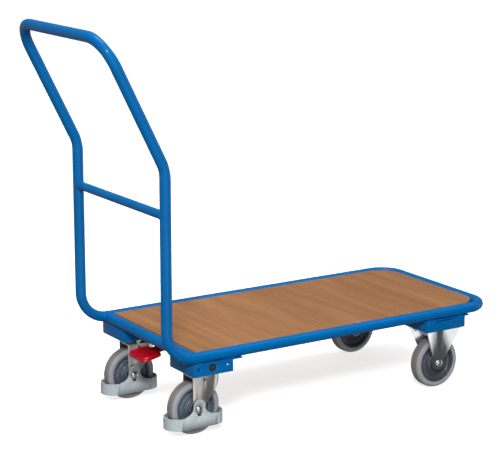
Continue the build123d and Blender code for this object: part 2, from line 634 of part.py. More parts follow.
def foot_guard(side):
    """Ring round the lower wheel with an ear up each side to the axle."""
    x, y = REAR_WHEEL_X, SIDES[side] * SWIVEL_Y
    guard = stadium(x, y, GUARD_BOTTOM, GUARD_TOP, GUARD_LENGTH, GUARD_HALF_WIDTH)
    guard = guard - stadium(x, y, GUARD_BOTTOM - CUT, GUARD_TOP + CUT, GUARD_LENGTH - 2 * GUARD_WALL,
                            GUARD_HALF_WIDTH - GUARD_WALL)
    for sign in (1, -1):
        guard = guard + guard_ear(x, y, sign)
    return guard


def guard_ear(x, y, sign):
    """Bell-shaped ear of a foot guard, with a drop-shaped recess for the axle bolt."""
    top = AXLE_Z + GUARD_EAR_RISE
    shoulder = top - GUARD_EAR_R
    spring = GUARD_TOP - GUARD_EAR_SINK
    low = GUARD_TOP - GUARD_EAR_ROOT
    right = Spline((x + GUARD_EAR_FOOT, spring), (x + GUARD_EAR_R, shoulder),
                   tangents=((-1, GUARD_EAR_LEAN), (0, 1)))
    crown = ThreePointArc((x + GUARD_EAR_R, shoulder), (x, top), (x - GUARD_EAR_R, shoulder))
    left = Spline((x - GUARD_EAR_R, shoulder), (x - GUARD_EAR_FOOT, spring),
                  tangents=((0, -1), (-1, -GUARD_EAR_LEAN)))
    base = Polyline((x - GUARD_EAR_FOOT, spring), (x - GUARD_EAR_FOOT, low),
                    (x + GUARD_EAR_FOOT, low), (x + GUARD_EAR_FOOT, spring))
    near, far = FORK_HALF_WIDTH + GUARD_EAR_GAP, GUARD_HALF_WIDTH
    first_y = min(y + sign * near, y + sign * far)
    ear = extrude(Plane.XZ.offset(-first_y) * make_face(right + crown + left + base), amount=-(far - near))
    face_y = y + sign * far
    floor_y = face_y - sign * GUARD_RECESS_DEPTH
    root_x, root_drop = GUARD_TIP_ROOT
    tip_z = AXLE_Z - GUARD_TIP_DROP
    tip = slab([(x - root_x, AXLE_Z - root_drop), (x + root_x, AXLE_Z - root_drop),
                (x + GUARD_TIP_HALF, tip_z), (x - GUARD_TIP_HALF, tip_z)], floor_y, face_y + sign * CUT)
    ear = ear - spindle(x, AXLE_Z, floor_y, face_y + sign * CUT, GUARD_RECESS_R) - tip
    bore = AXLE_D / 2 + SLEEVE_BORE_CLEARANCE
    return ear - spindle(x, AXLE_Z, y + sign * (near - CUT), face_y + sign * CUT, bore)


def rocker_pin(side):
    y = SIDES[side] * SWIVEL_Y
    return spindle(ROCKER_PIN_X, ROCKER_PIN_HEIGHT, y - FORK_HALF_WIDTH, y + FORK_HALF_WIDTH, ROCKER_PIN_R)


def brake_rocker(side):
    """Lever in the fork: the plunger lifts its nose, its tail presses on the tread."""
    y = SIDES[side] * SWIVEL_Y
    nose_x = SWIVEL_X + ROCKER_NOSE
    tail_x = ROCKER_PIN_X - ROCKER_TAIL
    nose_top = ROCKER_NOSE_BOTTOM + ROCKER_T
    tail_top = ROCKER_TAIL_BOTTOM + ROCKER_T
    neck_x = SWIVEL_X - ROCKER_NECK
    outline = [(nose_x, ROCKER_NOSE_BOTTOM), (nose_x, nose_top), (neck_x, nose_top),
               (ROCKER_PIN_X, ROCKER_PIN_HEIGHT + ROCKER_T), (tail_x, tail_top),
               (tail_x, ROCKER_TAIL_BOTTOM),
               (ROCKER_PIN_X, ROCKER_PIN_HEIGHT - ROCKER_T), (neck_x, ROCKER_NOSE_BOTTOM)]
    half = ROCKER_HALF_WIDTH
    lever = slab(outline, y - half, y + half)
    lever = lever + spindle(ROCKER_PIN_X, ROCKER_PIN_HEIGHT, y - half, y + half, ROCKER_BOSS_R)
    slot = block(SWIVEL_X, nose_x + CUT, y - ROCKER_SLOT_HALF, y + ROCKER_SLOT_HALF,
                 ROCKER_NOSE_BOTTOM - CUT, nose_top + CUT)
    slot = slot + post(SWIVEL_X, y, ROCKER_NOSE_BOTTOM - CUT, nose_top + CUT, ROCKER_SLOT_HALF)
    lever = lever - slot
    return lever - spindle(ROCKER_PIN_X, ROCKER_PIN_HEIGHT, y - half - CUT, y + half + CUT,
                           ROCKER_PIN_R + RUNNING_CLEARANCE)


def brake_plunger(side):
    """Rod through the kingpin with a collar above and a foot below."""
    y = SIDES[side] * SWIVEL_Y
    rod = post(SWIVEL_X, y, PLUNGER_BOTTOM, PLUNGER_TOP, PLUNGER_R)
    rod = rod + post(SWIVEL_X, y, COLLAR_BOTTOM, PLUNGER_TOP, PLUNGER_COLLAR_R)
    return rod + post(SWIVEL_X, y, PLUNGER_BOTTOM, PLUNGER_FOOT_TOP, PLUNGER_FOOT_R)


# ---------------------------------------------------------------- fixed castors
def fixed_fork(side):
    """Top plate, two upright webs and four gusset flanges that splay out to the plate's edge."""
    x, y = FRONT_WHEEL_X, SIDES[side] * FIXED_Y
    length, width = FIXED_PLATE_LENGTH, FIXED_PLATE_WIDTH
    plate = block(x - length / 2, x + length / 2, y - width / 2, y + width / 2, PLATE_BOTTOM, PLATE_TOP)
    fork = fillet(plate.edges().filter_by(Axis.Z), CASTOR_PLATE_CORNER_R)
    for bx, by in bolt_places(x, y, FIXED_BOLT_PATTERN):
        fork = fork - post(bx, by, PLATE_BOTTOM - CUT, PLATE_TOP + CUT, PLATE_BOLT_HOLE_R)
    web = FIXED_WEB / 2
    for sign in (1, -1):
        near = y + sign * FIXED_HALF_GAP
        far = y + sign * (FIXED_HALF_GAP + FIXED_SHEET)
        leg = block(x - web, x + web, near, far, AXLE_Z, PLATE_BOTTOM)
        leg = leg + spindle(x, AXLE_Z, near, far, web)
        for end in (1, -1):
            edge = x + end * (web - FIXED_SHEET / 2)
            middle = y + sign * (FIXED_HALF_GAP + FIXED_SHEET / 2)
            rim = Vector(x + end * length / 2, middle + sign * FIXED_SPLAY, PLATE_BOTTOM)
            top = Vector(edge, middle, PLATE_BOTTOM)
            foot = Vector(edge, middle, AXLE_Z + FIXED_GUSSET_FOOT)
            normal = (rim - top).cross(foot - top).normalized() * (FIXED_SHEET / 2)
            face = Face(Wire.make_polygon([top - normal, rim - normal, foot - normal]))
            leg = leg + Solid.extrude(face, normal * 2)
        leg = leg & block(x - length / 2, x + length / 2, y - width / 2, y + width / 2, 0, PLATE_BOTTOM)
        fork = fork + leg
    gap = FIXED_HALF_GAP + FIXED_SHEET + CUT
    return fork - spindle(x, AXLE_Z, y - gap, y + gap, AXLE_D / 2)


# ---------------------------------------------------------------- central brake
def brake_shaft():
    return hexagon(SHAFT_X, SHAFT_HEIGHT, -SHAFT_HALF_LENGTH, SHAFT_HALF_LENGTH, SHAFT_ACROSS)


def shaft_bushes():
    bushes = []
    for sign in SIDES.values():
        for wall, inward in ((BRACKET_OUTER_Y, -1), (BRACKET_INNER_Y, 1)):
            y0 = sign * wall
            y1 = sign * (wall + inward * BUSH_WIDTH)
            bush = spindle(SHAFT_X, SHAFT_HEIGHT, y0, y1, BUSH_R)
            bore = hexagon(SHAFT_X, SHAFT_HEIGHT, min(y0, y1) - CUT, max(y0, y1) + CUT, SHAFT_ACROSS)
            bushes.append(single(bush - bore))
    return Compound(children=bushes)


def brake_cams():
    cams = []
    for sign in SIDES.values():
        y = sign * SWIVEL_Y
        y0, y1 = y - CAM_WIDTH / 2, y + CAM_WIDTH / 2
        cam = spindle(SHAFT_X, SHAFT_HEIGHT, y0, y1, CAM_HUB_R)
        cam = cam + block(SHAFT_X, SWIVEL_X + CAM_OVERHANG, y0, y1, CAM_ARM_BOTTOM, CAM_ARM_TOP)
        slot = block(SWIVEL_X, SWIVEL_X + CAM_OVERHANG + CUT, y - CAM_SLOT_HALF, y + CAM_SLOT_HALF,
                     CAM_ARM_BOTTOM - CUT, CAM_ARM_TOP + CUT)
        slot = slot + post(SWIVEL_X, y, CAM_ARM_BOTTOM - CUT, CAM_ARM_TOP + CUT, CAM_SLOT_HALF)
        cam = cam - slot - hexagon(SHAFT_X, SHAFT_HEIGHT, y0 - CUT, y1 + CUT, SHAFT_ACROSS)
        cams.append(single(cam))
    return Compound(children=cams)


def brake_pedal():
    """Tread plate behind the shaft, on a hub clamped to it."""
    near, far = PEDAL_NEAR, PEDAL_FAR
    outline = Polyline((-near, -PEDAL_FRONT_WIDTH / 2), (-near, PEDAL_FRONT_WIDTH / 2),
                       (-far, PEDAL_REAR_WIDTH / 2), (-far, -PEDAL_REAR_WIDTH / 2), close=True)
    plate = extrude(Pos(0, 0, -PEDAL_DROP - PEDAL_T) * make_face(outline), amount=PEDAL_T)
    plate = fillet(plate.edges().filter_by(Axis.Z), PEDAL_CORNER_R)
    plate = fillet(plate.faces().sort_by(Axis.Z)[-1].edges(), PEDAL_EDGE_R)
    half = PEDAL_HUB_WIDTH / 2
    underside = -PEDAL_DROP - PEDAL_T + PEDAL_NECK_STEP
    neck = block(-near - PEDAL_NECK_LAP, 0, -half, half, underside, -PEDAL_DROP)
    pedal = plate + neck
    pedal = Pos(SHAFT_X, 0, SHAFT_HEIGHT) * Rot(0, -PEDAL_TILT, 0) * pedal
    pedal = pedal + spindle(SHAFT_X, SHAFT_HEIGHT, -half, half, PEDAL_HUB_R)
    return pedal - hexagon(SHAFT_X, SHAFT_HEIGHT, -half - CUT, half + CUT, SHAFT_ACROSS)


# ---------------------------------------------------------------- the whole truck
def wheel_places():
    """Name, x, y and half gap between the legs of each wheel."""
    rear_gap = FORK_HALF_WIDTH - FORK_SHEET
    for side, sign in SIDES.items():
        yield f"rear_{side}", REAR_WHEEL_X, sign * SWIVEL_Y, rear_gap
        yield f"front_{side}", FRONT_WHEEL_X, sign * FIXED_Y, FIXED_HALF_GAP


def all_pieces():
    pieces = {
        "front_bow": front_bow(),
        "push_bar": push_bar(),
        "handle_rung": handle_rung(),
        "cross_tube": cross_tube(),
        "deck_board": deck_board(),
        "deck_screws": deck_screws(),
        "castor_bolts": castor_bolts(),
        "castor_nuts": castor_nuts(),
        "upper_races": upper_races(),
        "kingpins": kingpins(),
        "brake_shaft": brake_shaft(),
        "shaft_bushes": shaft_bushes(),
        "brake_cams": brake_cams(),
        "brake_pedal": brake_pedal(),
    }
    guard_seat = GUARD_HALF_WIDTH - GUARD_RECESS_DEPTH
    fixed_seat = FIXED_HALF_GAP + FIXED_SHEET
    front_axles = {}
    for side in SIDES:
        pieces[f"side_rail_{side}"] = side_rail(side)
        pieces[f"handle_post_{side}"] = handle_post(side)
        pieces[f"swivel_plate_{side}"] = swivel_plate(side)
        pieces[f"swivel_fork_{side}"] = swivel_fork(side)
        pieces[f"foot_guard_{side}"] = foot_guard(side)
        pieces[f"race_balls_{side}"] = race_balls(side)
        pieces[f"rocker_pin_{side}"] = rocker_pin(side)
        pieces[f"brake_rocker_{side}"] = brake_rocker(side)
        pieces[f"brake_plunger_{side}"] = brake_plunger(side)
        pieces[f"fixed_fork_{side}"] = fixed_fork(side)
        for end in ("rear", "front"):
            pieces[f"castor_bracket_{end}_{side}"] = castor_bracket(end, side)
    for name, x, y, half_gap in wheel_places():
        seat = guard_seat if name.startswith("rear") else fixed_seat
        pieces[f"wheel_tread_{name}"] = wheel_tread(x, y)
        pieces[f"wheel_hub_{name}"] = wheel_hub(x, y)
        pieces[f"wheel_bearings_{name}"] = wheel_bearings(x, y)
        fittings = {"bolt": axle_bolt(x, y, seat, seat), "nut": axle_nut(x, y, seat),
                    "sleeve": axle_sleeve(x, y, half_gap)}
        for kind, piece in fittings.items():
            if name.startswith("rear"):
                pieces[f"axle_{kind}_{name}"] = piece
            else:
                front_axles.setdefault(f"front_axle_{kind}s", []).append(single(piece))
    for node, solids in front_axles.items():
        pieces[node] = Compound(children=solids)
    return pieces


os.makedirs("parts", exist_ok=True)
for node, shape in all_pieces().items():
    export_step(shape, f"parts/{node}.step")
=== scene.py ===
"""Looks of the flatbed platform truck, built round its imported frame.

+X points to the front, +Y to the left of the person pushing and +Z up, in metres. The tube frame,
deck panel, wheels, pedal, welds and fasteners are surfaces worked out here from the places that the
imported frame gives; sheet-metal and moulded pieces are copies of their nodes with softened edges.
"""

import logging
import math
from dataclasses import dataclass, field
from enum import Enum
from typing import Iterable, Sequence

import bmesh
import bpy
import numpy as np
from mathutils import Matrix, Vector

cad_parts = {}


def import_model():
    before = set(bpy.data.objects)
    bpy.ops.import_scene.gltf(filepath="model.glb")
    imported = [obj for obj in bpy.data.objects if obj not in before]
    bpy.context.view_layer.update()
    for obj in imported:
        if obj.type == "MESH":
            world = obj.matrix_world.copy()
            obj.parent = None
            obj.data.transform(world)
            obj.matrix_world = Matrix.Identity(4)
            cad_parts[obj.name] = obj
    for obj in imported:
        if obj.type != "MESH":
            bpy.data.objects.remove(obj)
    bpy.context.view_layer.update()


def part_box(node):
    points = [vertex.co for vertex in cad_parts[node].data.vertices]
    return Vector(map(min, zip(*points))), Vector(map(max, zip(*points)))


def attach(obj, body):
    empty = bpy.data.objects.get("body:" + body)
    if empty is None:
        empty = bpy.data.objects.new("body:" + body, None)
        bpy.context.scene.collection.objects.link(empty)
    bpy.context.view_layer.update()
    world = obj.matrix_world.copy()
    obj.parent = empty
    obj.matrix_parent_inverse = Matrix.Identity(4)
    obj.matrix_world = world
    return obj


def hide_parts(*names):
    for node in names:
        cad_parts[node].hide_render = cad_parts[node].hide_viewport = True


LOG = logging.getLogger("platform_truck")
MM = 0.001
TURN = 2 * math.pi
MERGE_NEW, MERGE_NODE = 1e-7, 2e-6  # points closer than this are one, in new and in copied meshes
NO_LENGTH = 1e-8  # shorter edges of a new mesh are dissolved
FLAT_JOINT = math.radians(0.8)  # triangles that meet at less than this are one flat face
STRAIGHT = 1.5707  # half of a corner's inner angle past which the corner counts as straight
HALF_SIDE = 0.499  # most of a side that the arc at one of its ends may take
WELD_LEAN = np.array([0.31, 0.17, 0.93])  # a direction that no weld follows

Points = np.ndarray
Material = bpy.types.Material
Socket = bpy.types.NodeSocket
Colour = tuple[float, float, float, float]
Span = tuple[float, float]
Place = tuple[float, float, float]


class Side(Enum):
    """Which side of the truck a piece belongs to, seen by the person pushing."""

    LEFT = "left"
    RIGHT = "right"

    @property
    def sign(self) -> int:
        """+1 on the left, where Y is positive, and -1 on the right."""
        return 1 if self is Side.LEFT else -1


class End(Enum):
    """Which end of the truck a castor stands at."""

    REAR = "rear"
    FRONT = "front"


# ------------------------------------------------------------------ surfaces
@dataclass
class Shell:
    """A surface as plain arrays, before it becomes a mesh.

    points is (n, 3), faces holds rows of point indices, and finish one material index per face.
    """

    points: Points
    faces: list[tuple[int, ...]]
    finish: list[int]

    def moved(self, offset: Sequence[float]) -> "Shell":
        """The same surface shifted by offset."""
        return Shell(self.points + np.asarray(offset, float), self.faces, self.finish)


def joined(shells: Iterable[Shell]) -> Shell:
    """Several surfaces as one, each keeping its own closed skin.

    Args:
        shells: The surfaces.

    Returns:
        One surface with all their points and faces.
    """
    points, faces, finish, start = [], [], [], 0
    for shell in shells:
        points.append(shell.points)
        faces += [tuple(i + start for i in face) for face in shell.faces]
        finish += list(shell.finish)
        start += len(shell.points)
    return Shell(np.concatenate(points), faces, finish)


def lattice(points: Points, wrap_rows: bool, wrap_cols: bool, caps: bool = False,
            finish: int | Sequence[int] = 0) -> Shell:
    """Quads over a (rows, columns, 3) grid of points.

    Args:
        points: The grid.
        wrap_rows: Whether the last row joins the first.
        wrap_cols: Whether the last column joins the first.
        caps: Whether the first and last row are closed by one face each.
        finish: One material index, or one for each band of faces between two columns.

    Returns:
        The surface.
    """
    rows, cols = points.shape[:2]
    i = np.arange(rows if wrap_rows else rows - 1)[:, None]
    j = np.arange(cols if wrap_cols else cols - 1)[None, :]
    k, m = (i + 1) % rows, (j + 1) % cols
    quads = np.stack([i * cols + j, k * cols + j, k * cols + m, i * cols + m], axis=-1)
    bands = np.broadcast_to(np.asarray(finish), quads.shape[:2])
    faces = [tuple(q) for q in quads.reshape(-1, 4).tolist()]
    marks = bands.reshape(-1).tolist()
    if caps:
        faces += [tuple(range(cols)), tuple(range((rows - 1) * cols, rows * cols))]
        marks += [marks[0], marks[-1]]
    return Shell(points.reshape(-1, 3), faces, marks)


def new_piece(name: str, shell: Shell, finishes: Sequence[Material], sharp: float = 38.0,
              values: dict[str, Points] | None = None) -> bpy.types.Object:
    """Makes a mesh object at the origin, smooth but for edges sharper than an angle.

    Args:
        name: Name of the piece.
        shell: Its surface.
        finishes: Its materials, in the order of the surface's material indices.
        sharp: Angle in degrees past which an edge stays hard.
        values: Numbers for each point, by the name of the attribute that holds them.

    Returns:
        The object, linked to the scene.
    """
    mesh = bpy.data.meshes.new(name)
    mesh.from_pydata(shell.points.tolist(), [], shell.faces)
    mesh.polygons.foreach_set("material_index", np.asarray(shell.finish, np.int32))
    for key, numbers in (values or {}).items():
        attribute = mesh.attributes.new(key, "FLOAT", "POINT")
        attribute.data.foreach_set("value", np.asarray(numbers, np.float32))
    shaped = bmesh.new()
    shaped.from_mesh(mesh)
    bmesh.ops.remove_doubles(shaped, verts=shaped.verts, dist=MERGE_NEW)
    bmesh.ops.dissolve_degenerate(shaped, edges=shaped.edges, dist=NO_LENGTH)
    bmesh.ops.recalc_face_normals(shaped, faces=shaped.faces)
    shaped.to_mesh(mesh)
    shaped.free()
    return finish_object(name, mesh, finishes, sharp)


def finish_object(name: str, mesh: bpy.types.Mesh, finishes: Sequence[Material],
                  sharp: float) -> bpy.types.Object:
    """Gives a mesh its materials and shading and links its object.

    Args:
        name: Name of the object.
        mesh: Its mesh.
        finishes: Its materials, in the order of the mesh's material indices.
        sharp: Angle in degrees past which an edge stays hard.

    Returns:
        The object, linked to the scene.
    """
    mesh.materials.clear()
    for material in finishes:
        mesh.materials.append(material)
    mesh.shade_smooth()
    mesh.set_sharp_from_angle(angle=math.radians(sharp))
    made = bpy.data.objects.new(name, mesh)
    bpy.context.scene.collection.objects.link(made)
    LOG.info("%s: %d faces", name, len(mesh.polygons))
    return made


def softened(node: str, name: str, width: float, finishes: Sequence[Material],
             segments: int = 2, crease: float = 32.0, sharp: float = 60.0,
             cuts: Sequence[float] = ()) -> bpy.types.Object:
    """A copy of a node with its triangles merged into whole faces and its edges rounded off.

    Args:
        node: The node to copy, which the new piece then replaces.
        name: Name of the new piece.
        width: How far a rounded edge reaches into its two faces.
        finishes: Materials of the piece.
        segments: Faces across each rounded edge.
        crease: Angle in degrees past which an edge is rounded.
        sharp: Angle in degrees past which an edge stays hard.
        cuts: X of upright planes that divide its long faces, so that they can be curved afterwards.

    Returns:
        The piece.
    """
    mesh = bpy.data.objects[node].data.copy()
    mesh.name = name
    shaped = bmesh.new()
    shaped.from_mesh(mesh)
    bmesh.ops.remove_doubles(shaped, verts=shaped.verts, dist=MERGE_NODE)
    bmesh.ops.dissolve_limit(shaped, angle_limit=FLAT_JOINT, verts=shaped.verts, edges=shaped.edges,
                             use_dissolve_boundaries=False)
    limit = math.radians(crease)
    edges = [e for e in shaped.edges if e.is_manifold and e.calc_face_angle(0.0) > limit]
    bmesh.ops.bevel(shaped, geom=edges, offset=width, offset_type="OFFSET", segments=segments,
                    profile=0.5, affect="EDGES", clamp_overlap=True)
    for x in cuts:
        bmesh.ops.bisect_plane(shaped, geom=shaped.verts[:] + shaped.edges[:] + shaped.faces[:],
                               plane_co=(x, 0, 0), plane_no=(1, 0, 0), dist=MERGE_NODE / 2)
    bmesh.ops.triangulate(shaped, faces=[f for f in shaped.faces if len(f.verts) > 4])
    bmesh.ops.dissolve_degenerate(shaped, edges=shaped.edges, dist=MERGE_NODE)
    bmesh.ops.triangulate(shaped, faces=[f for f in shaped.faces if len(f.verts) > 4])
    for face in shaped.faces:
        face.material_index = 0
    shaped.to_mesh(mesh)
    shaped.free()
    piece = finish_object(name, mesh, finishes, sharp)
    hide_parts(node)
    return piece


def rounded_path(corners: Points, radii: Sequence[float], steps: int,
                 squeeze: Sequence[float] | None = None) -> dict[str, Points]:
    """A closed polyline with its corners rounded by arcs, in two or three dimensions.

    Each corner's arc runs between two points at radius / tan(half the inner angle) from it. A point
    of the arc is its centre plus the spherical mean of the two spokes to its ends.

    Args:
        corners: (n, 2) or (n, 3) corner points.
        radii: One radius above 0 per corner; an arc never takes more than half of a side.
        steps: Spans in each arc.
        squeeze: How much a tube flattens in the middle of each corner's bend, 0 when not given.

    Returns:
        points, unit tangents, inward (unit vectors to the arc's centre) and bend, which rises
        from 0 at an arc's ends to that corner's squeeze at its middle.
    """
    corners = np.asarray(corners, float)
    count = len(corners)
    squeeze = squeeze if squeeze is not None else [0.0] * count
    u = np.linspace(0, 1, steps + 1)[:, None]
    rows: list[tuple[Points, ...]] = []
    for n, corner in enumerate(corners):
        back, ahead = corners[n - 1] - corner, corners[(n + 1) % count] - corner
        lengths = np.linalg.norm(back), np.linalg.norm(ahead)
        back, ahead = back / lengths[0], ahead / lengths[1]
        half = math.acos(float(np.clip(back @ ahead, -1, 1))) / 2
        if half >= STRAIGHT:
            rows.append((corner[None], ahead[None], np.zeros((1, len(corner))), np.zeros(1)))
            continue
        reach = min(radii[n] / math.tan(half), HALF_SIDE * min(lengths))
        radius = reach * math.tan(half)
        centre = corner + (ahead + back) / np.linalg.norm(ahead + back) * radius / math.sin(half)
        first, last = corner + back * reach - centre, corner + ahead * reach - centre
        sweep = math.pi - 2 * half
        spokes = (first * np.sin((1 - u) * sweep) + last * np.sin(u * sweep)) / math.sin(sweep)
        ways = last * np.cos(u * sweep) - first * np.cos((1 - u) * sweep)
        rows.append((centre + spokes, ways / np.linalg.norm(ways, axis=1, keepdims=True),
                     -spokes / radius, squeeze[n] * np.sin(math.pi * u[:, 0]) ** 2))
    keys = ("points", "tangents", "inward", "bend")
    return {key: np.concatenate(parts) for key, parts in zip(keys, zip(*rows))}


def carried(path: dict[str, Points], radius: float | Points, around: int, closed: bool,
            lean: Points) -> Shell:
    """A round section carried along a path.

    A point is the path's point plus radius times (cos a, sin a) in the plane across the path. Its
    share towards a bend's centre shrinks by the path's bend. Where that is below zero it grows, and
    the share across it shrinks by 0.8 times as much, as in a tube pressed flat by a bending tool.

    Args:
        path: What rounded_path gives.
        radius: One radius, or one for each point of the path.
        around: Points round the section.
        closed: Whether the path closes on itself.
        lean: A direction that the path never follows, which keeps the section from twisting.

    Returns:
        The surface.
    """
    tangents = path["tangents"]
    side = np.cross(tangents, lean)
    side /= np.linalg.norm(side, axis=1, keepdims=True)
    rise = np.cross(tangents, side)
    turn = np.linspace(0, TURN, around, endpoint=False)
    reach = np.broadcast_to(np.asarray(radius, float), (len(tangents),))
    spokes = (np.cos(turn)[None, :, None] * side[:, None, :]
              + np.sin(turn)[None, :, None] * rise[:, None, :]) * reach[:, None, None]
    inward, bend = path["inward"], path["bend"][:, None, None]
    along = (spokes * inward[:, None, :]).sum(-1, keepdims=True) * inward[:, None, :]
    spokes = spokes - bend * along + 0.8 * np.minimum(bend, 0) * (spokes - along)
    return lattice(path["points"][:, None, :] + spokes, closed, True, caps=not closed)


def bead(loop: Points, radius: float, closed: bool, ripples: int) -> Shell:
    """A weld bead: a thin round section carried along a curve, with scales like laid drops.

    The radius is radius * (1 + 0.16 * |sin|) over the ripples. At share s of an open bead it also
    has the factor sqrt(1 - (2 s - 1)^6), which tapers the ends. Tangents are central differences.

    Args:
        loop: (n, 3) points of the curve.
        radius: Radius of the bead.
        closed: Whether the curve closes on itself.
        ripples: Drops along the curve.

    Returns:
        The surface.
    """
    ahead = np.roll(loop, -1, axis=0) if closed else np.concatenate([loop[1:], loop[-1:]])
    behind = np.roll(loop, 1, axis=0) if closed else np.concatenate([loop[:1], loop[:-1]])
    tangents = ahead - behind
    tangents /= np.linalg.norm(tangents, axis=1, keepdims=True)
    run = np.linspace(0, 1, len(loop), endpoint=not closed)
    swell = radius * (1 + 0.16 * np.abs(np.sin(math.pi * ripples * run)))
    if not closed:
        swell = swell * np.sqrt(np.clip(1 - (2 * run - 1) ** 6, 0.05, 1))
    path = {"points": loop, "tangents": tangents, "inward": np.zeros_like(loop),
            "bend": np.zeros(len(loop))}
    return carried(path, swell, around=8, closed=closed, lean=WELD_LEAN)


def turned(profile: Points, centre: Sequence[float], segments: int) -> Shell:
    """A closed profile of (radius, y) turned round a line along Y.

    A point is centre + (r cos a, y, r sin a).

    Args:
        profile: (n, 2) corners, each a radius and a place along Y.
        centre: The point that the line goes through.
        segments: Points round the line.

    Returns:
        The surface.
    """
    a = np.linspace(0, TURN, segments, endpoint=False)[:, None]
    r, y = profile[None, :, 0], np.tile(profile[:, 1], (segments, 1))
    points = np.stack([r * np.cos(a), y, r * np.sin(a)], -1)
    return lattice(points + np.asarray(centre, float), wrap_rows=True, wrap_cols=True)


def plate(outline: dict[str, Points], levels: Sequence[Span], finish: Sequence[int]) -> Shell:
    """A flat plate with worked edges, standing on an outline in the XY plane.

    Each level (z, inset) is the outline moved inwards by inset along its own normal.

    Args:
        outline: What rounded_path gives for (n, 2) corners, counter-clockwise.
        levels: From the underside to the top.
        finish: Material index of each band between two levels; the end ones also serve the caps.

    Returns:
        The surface.
    """
    flat, way = outline["points"], outline["tangents"]
    normal = np.stack([-way[:, 1], way[:, 0]], -1)
    rows = [np.concatenate([flat + normal * inset, np.full((len(flat), 1), z)], 1)
            for z, inset in levels]
    bands = np.asarray(finish)[:, None] * np.ones((1, len(flat)), int)
    return lattice(np.stack(rows), wrap_rows=False, wrap_cols=True, caps=True, finish=bands)


def six_sided(across: float, height: float, bore: float, chamfer: float, around: int = 48) -> Shell:
    """A hexagon nut or head standing along Z from z = 0, with turned corners.

    At angle a the flat lies at (across / 2) / cos(a folded into one sixth). The turned corners
    limit that radius near the two faces, and the profile closes inside, along the bore.

    Args:
        across: Distance across the flats.
        height: Height.
        bore: Radius of the hole.
        chamfer: Height of the turned part.
        around: Points round the piece.

    Returns:
        The surface.
    """
    a = np.linspace(0, TURN, around, endpoint=False)
    sixth = math.pi / 3
    flat = across / 2 / np.cos((a + sixth / 2) % sixth - sixth / 2)
    rim = across / 2 * 0.96
    levels = [(0.0, rim), (chamfer, across), (height - chamfer, across), (height, rim)]
    rows = [np.stack([np.minimum(flat, r) * np.cos(a), np.minimum(flat, r) * np.sin(a),
                      np.full(around, z)], -1) for z, r in levels]
    rows += [np.stack([bore * np.cos(a), bore * np.sin(a), np.full(around, z)], -1)
             for z in (height, 0.0)]
    return lattice(np.stack(rows), wrap_rows=True, wrap_cols=True)


def along_y(shell: Shell) -> Shell:
    """The surface turned so that its Z axis points along +Y: (x, y, z) becomes (x, z, y)."""
    return Shell(shell.points[:, [0, 2, 1]], shell.faces, shell.finish)


# ------------------------------------------------------------------ finishes
def srgb(red: int, green: int, blue: int) -> Colour:
    """Linear colour of a display colour.

    Up to 0.04045 a channel is divided by 12.92; above that it is ((c + 0.055) / 1.055)^2.4.

    Args:
        red: Red from 0 to 255.
        green: Green from 0 to 255.
        blue: Blue from 0 to 255.

    Returns:
        The colour, opaque.
    """
    share = np.array([red, green, blue]) / 255
    linear = np.where(share <= 0.04045, share / 12.92, ((share + 0.055) / 1.055) ** 2.4)
    return (*linear.tolist(), 1.0)


